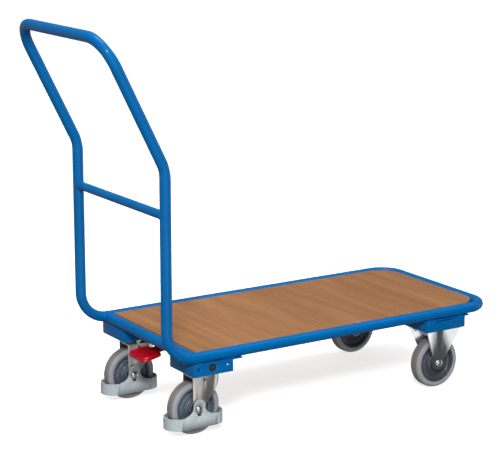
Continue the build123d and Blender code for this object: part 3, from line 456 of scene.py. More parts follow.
class Bench:
    """Builds one node material on Object coordinates."""

    def __init__(self, name: str) -> None:
        """Starts a material with a Principled shader.

        Args:
            name: Name of the material.
        """
        self.material = bpy.data.materials.new(name)
        self.material.use_nodes = True
        self.tree = self.material.node_tree
        self.shader = self.tree.nodes["Principled BSDF"]
        self.place = self.tree.nodes.new("ShaderNodeTexCoord").outputs["Object"]

    def set(self, **values: float | tuple) -> "Bench":
        """Sets the shader's own sockets.

        Args:
            **values: Constants by the socket's name, in lower case with underscores.

        Returns:
            This bench.
        """
        for key, value in values.items():
            name = key.replace("_", " ").title().replace("Ior", "IOR")
            self.shader.inputs[name].default_value = value
        return self

    def stretched(self, x: float, y: float, z: float) -> Socket:
        """Object coordinates scaled along each axis.

        Args:
            x: Scale along X.
            y: Scale along Y.
            z: Scale along Z.

        Returns:
            The scaled coordinates.
        """
        node = self.tree.nodes.new("ShaderNodeMapping")
        node.inputs["Scale"].default_value = (x, y, z)
        self.tree.links.new(self.place, node.inputs["Vector"])
        return node.outputs["Vector"]

    def noise(self, scale: float, detail: float = 2.0, roughness: float = 0.5,
              vector: Socket | None = None, warp: float = 0.0) -> Socket:
        """Noise from 0 to 1.

        Args:
            scale: Cells per metre of the coordinates.
            detail: Finer layers.
            roughness: How much the finer layers count.
            vector: Coordinates, plain Object coordinates when not given.
            warp: How far the noise bends itself.

        Returns:
            The noise.
        """
        node = self.tree.nodes.new("ShaderNodeTexNoise")
        settings = {"Scale": scale, "Detail": detail, "Roughness": roughness, "Distortion": warp}
        for key, value in settings.items():
            node.inputs[key].default_value = value
        self.tree.links.new(vector or self.place, node.inputs["Vector"])
        return node.outputs["Fac"]

    def attribute(self, name: str) -> Socket:
        """A value stored on the mesh.

        Args:
            name: Name of the attribute.

        Returns:
            The value.
        """
        node = self.tree.nodes.new("ShaderNodeAttribute")
        node.attribute_name = name
        return node.outputs["Fac"]

    def ranged(self, value: Socket, taken: Span, given: Span = (0.0, 1.0)) -> Socket:
        """A value's span mapped to another span, and clamped there.

        Args:
            value: The value.
            taken: The span of the value, low and high.
            given: What the span's two ends become.

        Returns:
            The mapped value.
        """
        node = self.tree.nodes.new("ShaderNodeMapRange")
        self.tree.links.new(value, node.inputs["Value"])
        for key, number in zip(("From Min", "From Max", "To Min", "To Max"), (*taken, *given)):
            node.inputs[key].default_value = number
        return node.outputs["Result"]

    def blend(self, share: Socket, first: Colour | Socket, second: Colour | Socket) -> Socket:
        """A colour between two.

        Args:
            share: 0 for the first colour to 1 for the second.
            first: A colour, or a socket that gives one.
            second: The same.

        Returns:
            The colour.
        """
        node = self.tree.nodes.new("ShaderNodeMix")
        node.data_type = "RGBA"
        self.tree.links.new(share, node.inputs["Factor"])
        for socket, value in ((node.inputs[6], first), (node.inputs[7], second)):
            if isinstance(value, tuple):
                socket.default_value = value
            else:
                self.tree.links.new(value, socket)
        return node.outputs[2]

    def colour(self, socket: Socket) -> "Bench":
        """Links the base colour and returns this bench."""
        self.tree.links.new(socket, self.shader.inputs["Base Color"])
        return self

    def rough(self, socket: Socket) -> "Bench":
        """Links the roughness and returns this bench."""
        self.tree.links.new(socket, self.shader.inputs["Roughness"])
        return self

    def relief(self, heights: Sequence[tuple[Socket, float]]) -> "Bench":
        """Links bumps, one on top of another.

        Args:
            heights: Heights from 0 to 1, each with its depth in metres.

        Returns:
            This bench.
        """
        normal = None
        for height, depth in heights:
            node = self.tree.nodes.new("ShaderNodeBump")
            node.inputs["Strength"].default_value = 1.0
            node.inputs["Distance"].default_value = depth
            self.tree.links.new(height, node.inputs["Height"])
            if normal is not None:
                self.tree.links.new(normal, node.inputs["Normal"])
            normal = node.outputs["Normal"]
        self.tree.links.new(normal, self.shader.inputs["Normal"])
        return self


@dataclass(frozen=True)
class PowderCoat:
    """Sprayed and baked paint with a fine orange-peel skin."""

    name: str
    deep: Colour
    light: Colour
    peel: float = 0.003 * MM

    def make(self) -> Material:
        """Builds the material.

        Returns:
            The material.
        """
        bench = Bench(self.name)
        bench.set(specular_ior_level=0.05, coat_weight=0.22, coat_roughness=0.04)
        cloud = bench.ranged(bench.noise(9, detail=3, roughness=0.55), (0.35, 0.65))
        bench.colour(bench.blend(cloud, self.deep, self.light))
        bench.rough(bench.ranged(bench.noise(30), (0.3, 0.7), (0.3, 0.38)))
        skin = bench.noise(420, detail=1, roughness=0.4)
        return bench.relief([(skin, self.peel)]).material


@dataclass(frozen=True)
class BeechDecor:
    """Pressed decor panel: pale brown with fine streaks across the deck and short dark rays."""

    name: str = "beech_decor"
    pale: Colour = srgb(173, 126, 86)
    brown: Colour = srgb(146, 100, 64)
    ray: Colour = srgb(124, 82, 52)
    broad_grain: Place = (26, 1.6, 26)
    fine_grain: Place = (210, 7, 210)
    ray_grain: Place = (620, 75, 620)
    ray_depth: float = 0.015 * MM
    pore_depth: float = 0.006 * MM

    def make(self) -> Material:
        """Builds the material, its grain along Y.

        Returns:
            The material.
        """
        bench = Bench(self.name).set(roughness=0.42, specular_ior_level=0.15)
        broad = bench.noise(1, detail=4, roughness=0.6, vector=bench.stretched(*self.broad_grain),
                            warp=0.5)
        fine = bench.noise(1, detail=3, roughness=0.65, vector=bench.stretched(*self.fine_grain))
        rays = bench.noise(1, detail=1, vector=bench.stretched(*self.ray_grain))
        wood = bench.blend(bench.ranged(broad, (0.3, 0.7)), self.pale, self.brown)
        wood = bench.blend(bench.ranged(fine, (0.42, 0.72), (0, 0.55)), wood, self.brown)
        wood = bench.blend(bench.ranged(rays, (0.6, 0.72), (0, 0.6)), wood, self.ray)
        bench.colour(wood).rough(bench.ranged(fine, (0.3, 0.7), (0.4, 0.5)))
        pores = bench.noise(900, detail=1)
        return bench.relief([(rays, self.ray_depth), (pores, self.pore_depth)]).material


@dataclass(frozen=True)
class EdgeStrip:
    """Thin plastic strip glued round the panel's edge."""

    name: str = "panel_edge_strip"
    tone: Colour = srgb(176, 136, 104)
    worn: Colour = srgb(205, 176, 148)
    depth: float = 0.02 * MM

    def make(self) -> Material:
        """Builds the material.

        Returns:
            The material.
        """
        bench = Bench(self.name).set(roughness=0.5)
        patch = bench.ranged(bench.noise(40, detail=3), (0.45, 0.75))
        bench.colour(bench.blend(patch, self.tone, self.worn))
        return bench.relief([(bench.noise(700), self.depth)]).material


@dataclass(frozen=True)
class Rubber:
    """Grey non-marking tyre: warm on the running face; its side bands are painted paler, a painted
    highlight for the light they catch, on the same rubber.
    """

    name: str = "grey_tyre_rubber"
    running: Colour = srgb(136, 133, 130)
    # painted highlight: this paler grey stands in for the light that the tyre's sides catch
    band: Colour = srgb(158, 160, 168)
    dust: Colour = srgb(122, 118, 112)
    depth: float = 0.02 * MM

    def make(self) -> Material:
        """Builds the material; the mesh holds how far a point is on the side band, where the
        painted highlight lies.

        Returns:
            The material.
        """
        bench = Bench(self.name).set(roughness=0.6, specular_ior_level=0.35)
        # painted highlight: the paler colour is blended in over the side band
        tone = bench.blend(bench.attribute("painted_highlight_band"), self.running, self.band)
        dirt = bench.ranged(bench.noise(120, detail=4, roughness=0.65), (0.5, 0.8), (0, 0.5))
        bench.colour(bench.blend(dirt, tone, self.dust))
        bench.rough(bench.ranged(bench.noise(260), (0.3, 0.7), (0.52, 0.7)))
        return bench.relief([(bench.noise(1500), self.depth)]).material


@dataclass(frozen=True)
class Moulding:
    """Injection-moulded plastic with a spark-eroded grain and a few specks."""

    name: str
    body: Colour
    speck: Colour
    roughness: Span = (0.45, 0.6)
    grain: float = 0.03 * MM
    specks: float = 0.35
    gloss: float = 0.5

    def make(self) -> Material:
        """Builds the material.

        Returns:
            The material.
        """
        bench = Bench(self.name).set(specular_ior_level=self.gloss)
        grit = bench.noise(900, detail=3, roughness=0.7)
        spots = bench.ranged(grit, (0.52, 0.66), (0, self.specks))
        bench.colour(bench.blend(spots, self.body, self.speck))
        bench.rough(bench.ranged(bench.noise(180), (0.3, 0.7), self.roughness))
        skin = bench.noise(1300, detail=3, roughness=0.6)
        return bench.relief([(skin, self.grain)]).material


@dataclass(frozen=True)
class GlossyPlastic:
    """Smooth coloured plastic with a clear shine."""

    name: str
    body: Colour
    deep: Colour
    wave: float = 0.003 * MM

    def make(self) -> Material:
        """Builds the material.

        Returns:
            The material.
        """
        bench = Bench(self.name)
        bench.set(specular_ior_level=0.3, coat_weight=0.35, coat_roughness=0.06)
        cloud = bench.ranged(bench.noise(45, detail=3), (0.3, 0.7))
        bench.colour(bench.blend(cloud, self.body, self.deep))
        bench.rough(bench.ranged(bench.noise(60), (0.3, 0.7), (0.2, 0.27)))
        return bench.relief([(bench.noise(300, detail=1), self.wave)]).material


@dataclass(frozen=True)
class PlatedSteel:
    """Zinc-plated or bare steel, with a clouded shine and fine rolling marks."""

    name: str
    bright: Colour
    dull: Colour
    roughness: Span
    cloud: float = 60.0
    marks: Place = (300.0, 300.0, 40.0)
    depth: float = 0.006 * MM

    def make(self) -> Material:
        """Builds the material.

        Returns:
            The material.
        """
        bench = Bench(self.name).set(metallic=1.0)
        patch = bench.ranged(bench.noise(self.cloud, detail=3, roughness=0.6), (0.35, 0.65))
        bench.colour(bench.blend(patch, self.bright, self.dull))
        marks = bench.noise(1, vector=bench.stretched(*self.marks))
        bench.rough(bench.ranged(marks, (0.3, 0.7), self.roughness))
        return bench.relief([(marks, self.depth)]).material


@dataclass
class Finishes:
    """Every material of the truck, made once."""

    blue: Material = field(default_factory=PowderCoat(
        "blue_powder_coat", srgb(0, 98, 163), srgb(0, 103, 170)).make)
    beech: Material = field(default_factory=BeechDecor().make)
    strip: Material = field(default_factory=EdgeStrip().make)
    rubber: Material = field(default_factory=Rubber().make)
    charcoal: Material = field(default_factory=Moulding(
        "charcoal_nylon", srgb(70, 73, 81), srgb(80, 84, 92), roughness=(0.24, 0.28),
        grain=0.002 * MM, specks=0.1, gloss=0.7).make)
    slate: Material = field(default_factory=Moulding(
        "slate_nylon", srgb(88, 98, 111), srgb(100, 109, 121), roughness=(0.25, 0.29),
        grain=0.002 * MM, specks=0.1, gloss=0.7).make)
    guard: Material = field(default_factory=Moulding(
        "pale_grey_guard", srgb(180, 190, 195), srgb(226, 232, 235), roughness=(0.45, 0.58),
        grain=0.04 * MM, specks=0.8).make)
    red: Material = field(default_factory=GlossyPlastic(
        "red_pedal_plastic", srgb(188, 4, 26), srgb(170, 3, 21)).make)
    bush: Material = field(default_factory=Moulding(
        "black_bush_plastic", srgb(22, 23, 25), srgb(36, 37, 40)).make)
    satin: Material = field(default_factory=PlatedSteel(
        "satin_zinc", srgb(222, 221, 216), srgb(205, 204, 200), roughness=(0.3, 0.36),
        cloud=40.0, marks=(90.0, 90.0, 60.0), depth=0.001 * MM).make)
    bright: Material = field(default_factory=PlatedSteel(
        "bright_zinc_sheet", srgb(238, 240, 243), srgb(222, 225, 229), roughness=(0.1, 0.17),
        cloud=45.0, marks=(120.0, 120.0, 60.0), depth=0.002 * MM).make)
    fastener: Material = field(default_factory=PlatedSteel(
        "bright_zinc_fastener", srgb(225, 225, 222), srgb(200, 200, 196), roughness=(0.14, 0.26),
        cloud=200.0).make)
    steel: Material = field(default_factory=PlatedSteel(
        "oiled_dark_steel", srgb(120, 120, 122), srgb(92, 92, 95), roughness=(0.3, 0.45)).make)


# ------------------------------------------------------------------ places read from the frame
@dataclass
class Places:
    """Places of the truck, read from the boxes of its nodes."""

    tube_r: float = field(init=False)
    rail_y: float = field(init=False)
    rail_z: float = field(init=False)
    front_x: float = field(init=False)
    post_x: float = field(init=False)
    bar_x: float = field(init=False)
    bar_z: float = field(init=False)

    def __post_init__(self) -> None:
        """Reads the rail, bow, rung and push bar."""
        low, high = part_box("side_rail_left")
        self.tube_r = (high.z - low.z) / 2
        self.rail_y, self.rail_z = (high.y + low.y) / 2, (high.z + low.z) / 2
        self.front_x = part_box("front_bow")[1].x - self.tube_r
        self.post_x = middle("handle_rung").x
        low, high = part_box("push_bar")
        self.bar_x, self.bar_z = low.x + self.tube_r, high.z - self.tube_r


def middle(node: str) -> Vector:
    """Centre of a node's box."""
    low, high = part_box(node)
    return (low + high) / 2


def mesh_points(mesh: bpy.types.Mesh) -> Points:
    """(n, 3) points of a mesh.

    Args:
        mesh: The mesh.

    Returns:
        The points.
    """
    flat = np.zeros(len(mesh.vertices) * 3, np.float32)
    mesh.vertices.foreach_get("co", flat)
    return flat.reshape(-1, 3)


def dress(node: str, material: Material) -> None:
    """Gives a node that stays as it is a better material.

    Args:
        node: Name of the node.
        material: Its new material.
    """
    for place in bpy.data.objects[node].material_slots:
        place.material = material
    LOG.info("%s dressed in %s", node, material.name)


# ------------------------------------------------------------------ sub-assemblies
@dataclass
class TubeFrame:
    """The one bent tube that runs round the deck and up over the handle, its rung and its welds."""

    places: Places
    finishes: Finishes
    kink_z: float = 622 * MM
    post_bend: float = 69 * MM
    kink_bend: float = 84 * MM
    hoop_bend: float = 67 * MM
    bow_bend: float = 55 * MM
    squeeze: tuple[float, ...] = (0.04, 0.06, 0.05, -0.13)
    bend_steps: int = 22
    around: int = 40
    wall: float = 2 * MM
    bead_r: float = 2 * MM
    rung_drops: int = 22
    cross_drops: int = 26
    stitch_drops: int = 9
    stitch_length: float = 20 * MM
    stitch_starts: Span = (0.04, 0.74)
    stitch_lift: float = 0.9 * MM

    def tube(self) -> Shell:
        """The closed loop of tube, with its bends a little flattened.

        Returns:
            The surface.
        """
        p, y = self.places, self.places.rail_y
        half = [(p.front_x, y, p.rail_z), (p.post_x, y, p.rail_z), (p.post_x, y, self.kink_z),
                (p.bar_x, y, p.bar_z)]
        corners = np.array(half + [(a, -b, c) for a, b, c in reversed(half)])
        bends = [self.bow_bend, self.post_bend, self.kink_bend, self.hoop_bend]
        path = rounded_path(corners, bends + bends[::-1], self.bend_steps,
                            self.squeeze + self.squeeze[::-1])
        return carried(path, p.tube_r, self.around, closed=True, lean=np.ones(3))

    def rung_weld(self, side: Side) -> Shell:
        """Bead where the rung meets a post: the line where the two round tubes cut.

        On the rung at angle a, x = r cos a and z = r sin a; the post's surface there lies
        sqrt(R^2 - x^2) inside its own axis.

        Args:
            side: Which post.

        Returns:
            The surface.
        """
        p = self.places
        low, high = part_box("handle_rung")
        r = (high.z - low.z) / 2
        a = np.linspace(0, TURN, 64, endpoint=False)
        x = r * np.cos(a)
        y = side.sign * (p.rail_y - np.sqrt(p.tube_r**2 - x**2))
        loop = np.stack([p.post_x + x, y, (low.z + high.z) / 2 + r * np.sin(a)], -1)
        return bead(loop, self.bead_r, closed=True, ripples=self.rung_drops)

    def cross_weld(self, side: Side) -> Shell:
        """Bead where the cross tube meets a rail of the same size.

        At angle a it lies sqrt((r cos a)^2 + wall^2) inside the rail's axis.

        Args:
            side: Which rail.

        Returns:
            The surface.
        """
        p, r = self.places, self.places.tube_r
        a = np.linspace(0, TURN, 72, endpoint=False)
        y = side.sign * (p.rail_y - np.sqrt((r * np.cos(a)) ** 2 + self.wall**2))
        x = middle("cross_tube").x + r * np.cos(a)
        loop = np.stack([x, y, p.rail_z + r * np.sin(a)], -1)
        return bead(loop, self.bead_r, closed=True, ripples=self.cross_drops)

    def bracket_stitches(self) -> Shell:
        """Short beads between the rails and the top plates of the brackets.

        Each is a straight line along X, 0.36 of the tube's radius outside the rail's axis.

        Returns:
            The surface.
        """
        shells = []
        run = np.linspace(0, 1, 30)
        for end in End:
            for side in Side:
                low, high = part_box(f"castor_bracket_{end.value}_{side.value}")
                y = np.full(30, side.sign * (self.places.rail_y + self.places.tube_r * 0.36))
                z = np.full(30, high.z + self.stitch_lift)
                for start in self.stitch_starts:
                    x = low.x + (high.x - low.x) * start + run * self.stitch_length
                    line = np.stack([x, y, z], -1)
                    shells.append(bead(line, self.bead_r, closed=False, ripples=self.stitch_drops))
        return joined(shells)

    def build(self) -> None:
        """Makes and dresses the tube, the welds and the two straight tubes."""
        blue = [self.finishes.blue]
        tube = new_piece("frame_tube", self.tube(), blue, sharp=60)
        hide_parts("front_bow", "push_bar", "side_rail_left", "side_rail_right",
                    "handle_post_left", "handle_post_right")
        welds = {"rung_welds": joined(self.rung_weld(side) for side in Side),
                 "cross_tube_welds": joined(self.cross_weld(side) for side in Side),
                 "bracket_welds": self.bracket_stitches()}
        beads = [new_piece(name, shell, blue, sharp=60) for name, shell in welds.items()]
        for piece in (tube, *beads):
            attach(piece, "truck")
        for node in ("handle_rung", "cross_tube"):
            dress(node, self.finishes.blue)


@dataclass
class DeckPanel:
    """Decor panel with a thin edge strip and slightly broken edges."""

    finishes: Finishes
    corner_r: float = 58 * MM
    rear_r: float = 1.5 * MM
    arris: float = 0.8 * MM
    corner_steps: int = 20

    def build(self) -> None:
        """Makes and dresses the panel; its two last faces, the flat sides, show the decor."""
        low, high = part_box("deck_board")
        corners = np.array([(low.x, low.y), (high.x, low.y), (high.x, high.y), (low.x, high.y)])
        radii = [self.rear_r, self.corner_r, self.corner_r, self.rear_r]
        levels = [(low.z, self.arris), (low.z + self.arris, 0), (high.z - self.arris, 0),
                  (high.z, self.arris)]
        shell = plate(rounded_path(corners, radii, self.corner_steps), levels, [1, 1, 1])
        shell.finish[-2:] = [0, 0]
        panel = new_piece("deck_panel", shell, [self.finishes.beech, self.finishes.strip],
                          sharp=30)
        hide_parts("deck_board")
        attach(panel, "truck")
        dress("deck_screws", self.finishes.fastener)


@dataclass
class Wheel:
    """Tyre and hub of one castor wheel, as turned profiles."""

    end: End
    side: Side
    finishes: Finishes
    rim_r: float = 49 * MM
    crown: float = 0.35 * MM
    lip: float = 0.45 * MM
    # width of the side band that gets the rubber's painted highlight, and how far it fades in
    highlight_band_depth: float = 5.5 * MM
    highlight_band_fade: float = 2.5 * MM
    tyre_segments: int = 96
    hub_half: float = 14.5 * MM
    web_half: float = 4.5 * MM
    boss_r: float = 17.5 * MM
    ring_r: float = 31 * MM
    ring_half: float = 8.5 * MM
    bore_r: float = 11 * MM
    bearing_r: float = 14 * MM
    bearing_depth: float = 8 * MM
    hub_segments: int = 80

    @property
    def name(self) -> str:
        """End and side, as in the names of the wheel's nodes."""
        return f"{self.end.value}_{self.side.value}"

    def centre(self) -> Vector:
        """Centre of the wheel."""
        return middle(f"wheel_tread_{self.name}")

    def tyre(self) -> tuple[Shell, Points]:
        """The tyre, which bulges by crown over its width and has a raised line on each side band.

        Returns:
            The surface, and for each point how far it lies on the side band, from 0 to 1, which is
            the share of the rubber's painted highlight.
        """
        low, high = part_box(f"wheel_tread_{self.name}")
        radius, half = (high.z - low.z) / 2, (high.y - low.y) / 2
        rim, lip = self.rim_r, self.lip
        half_profile = [
            (rim, half - 1.6 * MM), (rim + 1.4 * MM, half - 0.5 * MM), (rim + 2.6 * MM, half),
            (rim + 3.6 * MM, half - lip), (radius - 6 * MM, half - lip * 0.6),
            (radius - self.crown, half - 5.4 * MM), (radius, 0)]
        radii = np.array([0.4, 1, 0.8, 1, 7, 9, 60]) * MM
        corners = np.array(half_profile + [(r, -y) for r, y in reversed(half_profile[:-1])])
        outline = rounded_path(corners, [*radii, *radii[-2::-1]], steps=6)["points"]
        # share of the painted highlight: 1 on the side band, falling to 0 towards the running face
        depth = np.abs(outline[:, 1]) - (half - self.highlight_band_depth)
        band = np.clip(depth / self.highlight_band_fade, 0, 1)
        shell = turned(outline, self.centre(), self.tyre_segments)
        return shell, np.tile(band, self.tyre_segments)

    def hub(self) -> Shell:
        """Dished hub: rolled rim, web with two raised rings, stepped boss and bearing seats.

        Returns:
            The surface.
        """
        low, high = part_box(f"wheel_hub_{self.name}")
        boss, web, ring = (high.y - low.y) / 2, self.web_half, self.ring_half
        seat, step = boss - self.bearing_depth, self.rim_r - 5 * MM
        half_profile = [
            (self.bore_r, seat), (self.bearing_r, seat), (self.bearing_r, boss - 0.6 * MM),
            (self.bearing_r + 1.2 * MM, boss), (self.boss_r, boss),
            (self.boss_r + 1.6 * MM, web + 4 * MM), (self.boss_r + 5.5 * MM, web + 3 * MM),
            (self.boss_r + 6.5 * MM, web), (self.ring_r - 2.6 * MM, web),
            (self.ring_r - 2 * MM, ring), (self.ring_r, ring),
            (self.ring_r + 0.8 * MM, web + 1.5 * MM), (step - 6 * MM, web),
            (step - 2.2 * MM, web + 2 * MM), (step, self.hub_half - 2.4 * MM),
            (step + 1.2 * MM, self.hub_half), (self.rim_r - 0.05 * MM, self.hub_half)]
        radii = np.array([0.3, 0.3, 0.4, 0.4, 1.2, 1.8, 0.8, 1.6, 1.2, 0.7, 0.7, 1.2, 2.5, 2.5,
                          1.2, 0.7, 0.4]) * MM
        corners = np.array(half_profile + [(r, -y) for r, y in reversed(half_profile)])
        outline = rounded_path(corners, [*radii, *radii[::-1]], steps=4)["points"]
        return turned(outline, self.centre(), self.hub_segments)

    def build(self) -> None:
        """Makes and dresses the wheel."""
        # the tyre hands the share of its painted highlight to the rubber
        shell, band = self.tyre()
        tyre = new_piece(f"tyre_{self.name}", shell, [self.finishes.rubber], sharp=45,
                         values={"painted_highlight_band": band})
        nylon = self.finishes.slate if self.end is End.REAR else self.finishes.charcoal
        hub = new_piece(f"hub_{self.name}", self.hub(), [nylon], sharp=45)
        for piece, node, slot in ((tyre, "tread", "grey_tread"), (hub, "hub", "charcoal_hub")):
            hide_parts(f"wheel_{node}_{self.name}")
            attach(piece, f"wheel_{self.name}")
        dress(f"wheel_bearings_{self.name}", self.finishes.fastener)


@dataclass
class Brackets:
    """Folded sheet brackets under the rails, with softened folds."""

    finishes: Finishes
    fold: float = 0.9 * MM

    def build(self) -> None:
        """Makes and dresses the four brackets."""
        for end in End:
            for side in Side:
                name = f"{end.value}_{side.value}"
                piece = softened(f"castor_bracket_{name}", f"bracket_{name}", self.fold,
                                 [self.finishes.blue])
                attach(piece, "truck")


@dataclass
class SwivelCastor:
    """Rear castor: pressed fork, foot guard, race and the fittings inside."""

    side: Side
    finishes: Finishes
    fork_edge: float = 0.8 * MM
    fork_cuts: int = 13
    belly: float = 4.5 * MM
    guard_edge: float = 0.9 * MM
    recess: float = 2 * MM
    # outline of the painted shade in each slot of the guard, in millimetres from the axle
    slot_corners: tuple[Span, ...] = ((2.4, -16.2), (-2.4, -16.2), (-6.4, -6.6), (6.4, -6.6))
    slot_radii: tuple[float, ...] = (2 * MM, 2 * MM, 2.5 * MM, 2.5 * MM)

    def slot_shade_plates(self) -> Shell:
        """Painted shade: dark drop-shaped plates in the recess below each axle end, one on each
        ear, where each slot lies in shade.

        A slot's painted shade is a thin plate across the floor of the recess. Its outline has four
        corners, in millimetres from the axle, rounded by arcs.

        Returns:
            The surface.
        """
        wheel = middle(f"wheel_tread_rear_{self.side.value}")
        low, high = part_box(f"foot_guard_{self.side.value}")
        floor, line = (high.y - low.y) / 2 - self.recess, (high.y + low.y) / 2
        outline = rounded_path(np.array(self.slot_corners) * MM, self.slot_radii, steps=6)
        shells = []
        for sign in (-1, 1):
            leaf = along_y(plate(outline, [(floor - 0.4 * MM, 0), (floor + 0.35 * MM, 0)], [0]))
            leaf.points[:, 1] *= sign
            shells.append(leaf.moved((wheel.x, line, wheel.z)))
        return joined(shells)

    def pressed_fork(self) -> bpy.types.Object:
        """The fork with its legs pressed to a shallow barrel.

        Behind the swivel axis, each wall moves towards the wheel by belly * s^2, where s runs from
        0 at the axis to 1 at the fork's rear edge. The crown stays as it is: the share of the move
        grows from 0 to 1 between 0.6 and 0.85 of the fork's half width.

        Returns:
            The piece.
        """
        side = self.side.value
        low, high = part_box(f"swivel_fork_{side}")
        line, half = (low.y + high.y) / 2, (high.y - low.y) / 2
        axis = high.x - half
        cuts = np.linspace(low.x, axis, self.fork_cuts + 2)[1:-1]
        fork = softened(f"swivel_fork_{side}", f"pressed_fork_{side}", self.fork_edge,
                        [self.finishes.satin], cuts=cuts)
        points = mesh_points(fork.data)
        share = np.clip((axis - points[:, 0]) / (axis - low.x), 0, 1) ** 2
        out = points[:, 1] - line
        wall = np.clip((np.abs(out) - half * 0.6) / (half * 0.25), 0, 1)
        points[:, 1] -= np.sign(out) * self.belly * share * wall
        fork.data.vertices.foreach_set("co", points.ravel())
        fork.data.update()
        return fork

    def build(self) -> None:
        """Makes and dresses the castor."""
        side = self.side.value
        fork = self.pressed_fork()
        guard = softened(f"foot_guard_{side}", f"guard_{side}", self.guard_edge,
                         [self.finishes.guard], segments=3)
        # painted shade: dark plates in the guard's recess, where each slot lies in shade
        shade_plates = new_piece(f"slot_shade_plates_{side}", self.slot_shade_plates(), [self.finishes.bush],
                          sharp=30)
        for piece, slot in ((fork, "zinc_sheet"), (guard, "grey_guard"), (shade_plates, "black_bush")):
            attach(piece, f"rear_fork_{side}")
        for node in ("race_balls", "rocker_pin", "brake_rocker", "brake_plunger",
                     "axle_sleeve_rear"):
            dress(f"{node}_{side}", self.finishes.steel)
        dress(f"swivel_plate_{side}", self.finishes.satin)


@dataclass
class FixedCastor:
    """Front castor: pressed fork with splayed flanges."""

    side: Side
    finishes: Finishes
    edge: float = 0.8 * MM

    def build(self) -> None:
        """Makes and dresses the fork, whose shallow folds stay crisp."""
        side = self.side.value
        fork = softened(f"fixed_fork_{side}", f"front_fork_{side}", self.edge,
                        [self.finishes.bright], sharp=9.0)
        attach(fork, "truck")


@dataclass
class Fasteners:
    """Axle bolts with domed heads, axle nuts, castor bolts and nuts."""

    finishes: Finishes
    head_height: float = 5 * MM
    shank_r: float = 5 * MM
    tail_edge: float = 0.7 * MM
    axle_nut_across: float = 16 * MM
    axle_nut_height: float = 7 * MM
    plate_nut_across: float = 13 * MM
    plate_nut_bore: float = 4 * MM
    nut_spacing: float = 26 * MM

    def domed_head(self, centre: Place, radius: float) -> Shell:
        """Low dome on a thin collar, looking towards -Y, with a small dimple in the middle.

        At share r of the radius the dome rises to 0.25 + 0.75 * sqrt(1 - 0.92 r^2) of the head's
        height, less a dimple of 0.12 * exp(-(r / 0.22)^2).

        Args:
            centre: Middle of the head's seat.
            radius: Radius of the head.

        Returns:
            The surface.
        """
        r = np.linspace(0.02, 1, 12)
        dome = 0.25 + 0.75 * np.sqrt(1 - 0.92 * r**2) - 0.12 * np.exp(-((r / 0.22) ** 2))
        curve = np.stack([radius * r, -self.head_height * dome], -1)[::-1]
        profile = np.concatenate([[(0.0, 0.0), (radius, 0.0)], curve,
                                  [(0.0, -self.head_height * dome[0])]])
        return turned(profile, centre, segments=40)

    def axle_ends(self, node: str, centres: Sequence[Vector], name: str, body: str) -> None:
        """Replaces the bolts of a node by a shank, a domed head and a broken tail edge each.

        Args:
            node: The node, with one bolt for each wheel.
            centres: Centres of those wheels.
            name: Name of the new piece.
            body: The body it rides on.
        """
        low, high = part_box(node)
        places = [c.y for c in centres]
        length = high.y - low.y - (max(places) - min(places)) - self.head_height
        shank = np.array([(0.0, 0.0), (self.shank_r, 0.0), (self.shank_r, length - self.tail_edge),
                          (self.shank_r - self.tail_edge, length), (0.0, length)])
        shells = []
        for centre in centres:
            seat = (centre.x, centre.y + low.y - min(places) + self.head_height, centre.z)
            shells.append(self.domed_head(seat, radius=(high.z - low.z) / 2))
            shells.append(turned(shank, seat, segments=28))
        self.place(joined(shells), node, name, body, sharp=40)

    def axle_nuts(self, node: str, centres: Sequence[Vector], name: str, body: str) -> None:
        """Replaces the nuts of a node by hexagons with turned corners.

        Args:
            node: The node, with one nut for each wheel.
            centres: Centres of those wheels.
            name: Name of the new piece.
            body: The body it rides on.
        """
        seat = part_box(node)[1].y - max(c.y for c in centres) - self.axle_nut_height
        nut = along_y(six_sided(self.axle_nut_across, self.axle_nut_height, bore=self.shank_r,
                                chamfer=0.9 * MM))
        shells = [nut.moved((c.x, c.y + seat, c.z)) for c in centres]
        self.place(joined(shells), node, name, body, sharp=30)

    def castor_nuts(self) -> None:
        """Replaces the sixteen plate nuts by chamfered ones.

        The node's points are sorted into square cells about as wide as the nuts' spacing. A nut's
        centre is the middle of the points round a cell's mean, and one found twice counts once.
        """
        points = mesh_points(bpy.data.objects["castor_nuts"].data)
        shares = points[:, :2] / self.nut_spacing
        centres: list[Points] = []
        for cell in np.unique(np.round(shares), axis=0):
            seed = points[np.abs(shares - cell).max(1) <= 0.5, :2].mean(0)
            own = points[np.linalg.norm(points[:, :2] - seed, axis=1) < 12 * MM, :2]
            spot = (own.min(0) + own.max(0)) / 2
            if all(np.linalg.norm(spot - c) > 8 * MM for c in centres):
                centres.append(spot)
        low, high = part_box("castor_nuts")
        nut = six_sided(self.plate_nut_across, high.z - low.z, bore=self.plate_nut_bore,
                        chamfer=0.8 * MM, around=36)
        LOG.info("plate nuts: %d", len(centres))
        shell = joined(nut.moved((x, y, low.z)) for x, y in centres)
        self.place(shell, "castor_nuts", "plate_nuts", "truck", sharp=30)

    def place(self, shell: Shell, node: str, name: str, body: str, sharp: float) -> None:
        """Puts a zinc-plated piece in the place of a node.

        Args:
            shell: The piece's surface.
            node: The node that it replaces.
            name: Name of the piece.
            body: The body it rides on.
            sharp: Angle in degrees past which an edge stays hard.
        """
        piece = new_piece(name, shell, [self.finishes.fastener], sharp)
        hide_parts(node)
        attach(piece, body)

    def build(self) -> None:
        """Makes and dresses the fasteners."""
        fronts = [middle(f"wheel_tread_front_{s.value}") for s in Side]
        self.axle_ends("front_axle_bolts", fronts, "front_axle_ends", "truck")
        self.axle_nuts("front_axle_nuts", fronts, "front_axle_hex", "truck")
        for side in (s.value for s in Side):
            centre = [middle(f"wheel_tread_rear_{side}")]
            body = f"rear_fork_{side}"
            self.axle_ends(f"axle_bolt_rear_{side}", centre, f"rear_axle_end_{side}", body)
            self.axle_nuts(f"axle_nut_rear_{side}", centre, f"rear_axle_hex_{side}", body)
        self.castor_nuts()
        dress("castor_bolts", self.finishes.fastener)
        dress("front_axle_sleeves", self.finishes.steel)


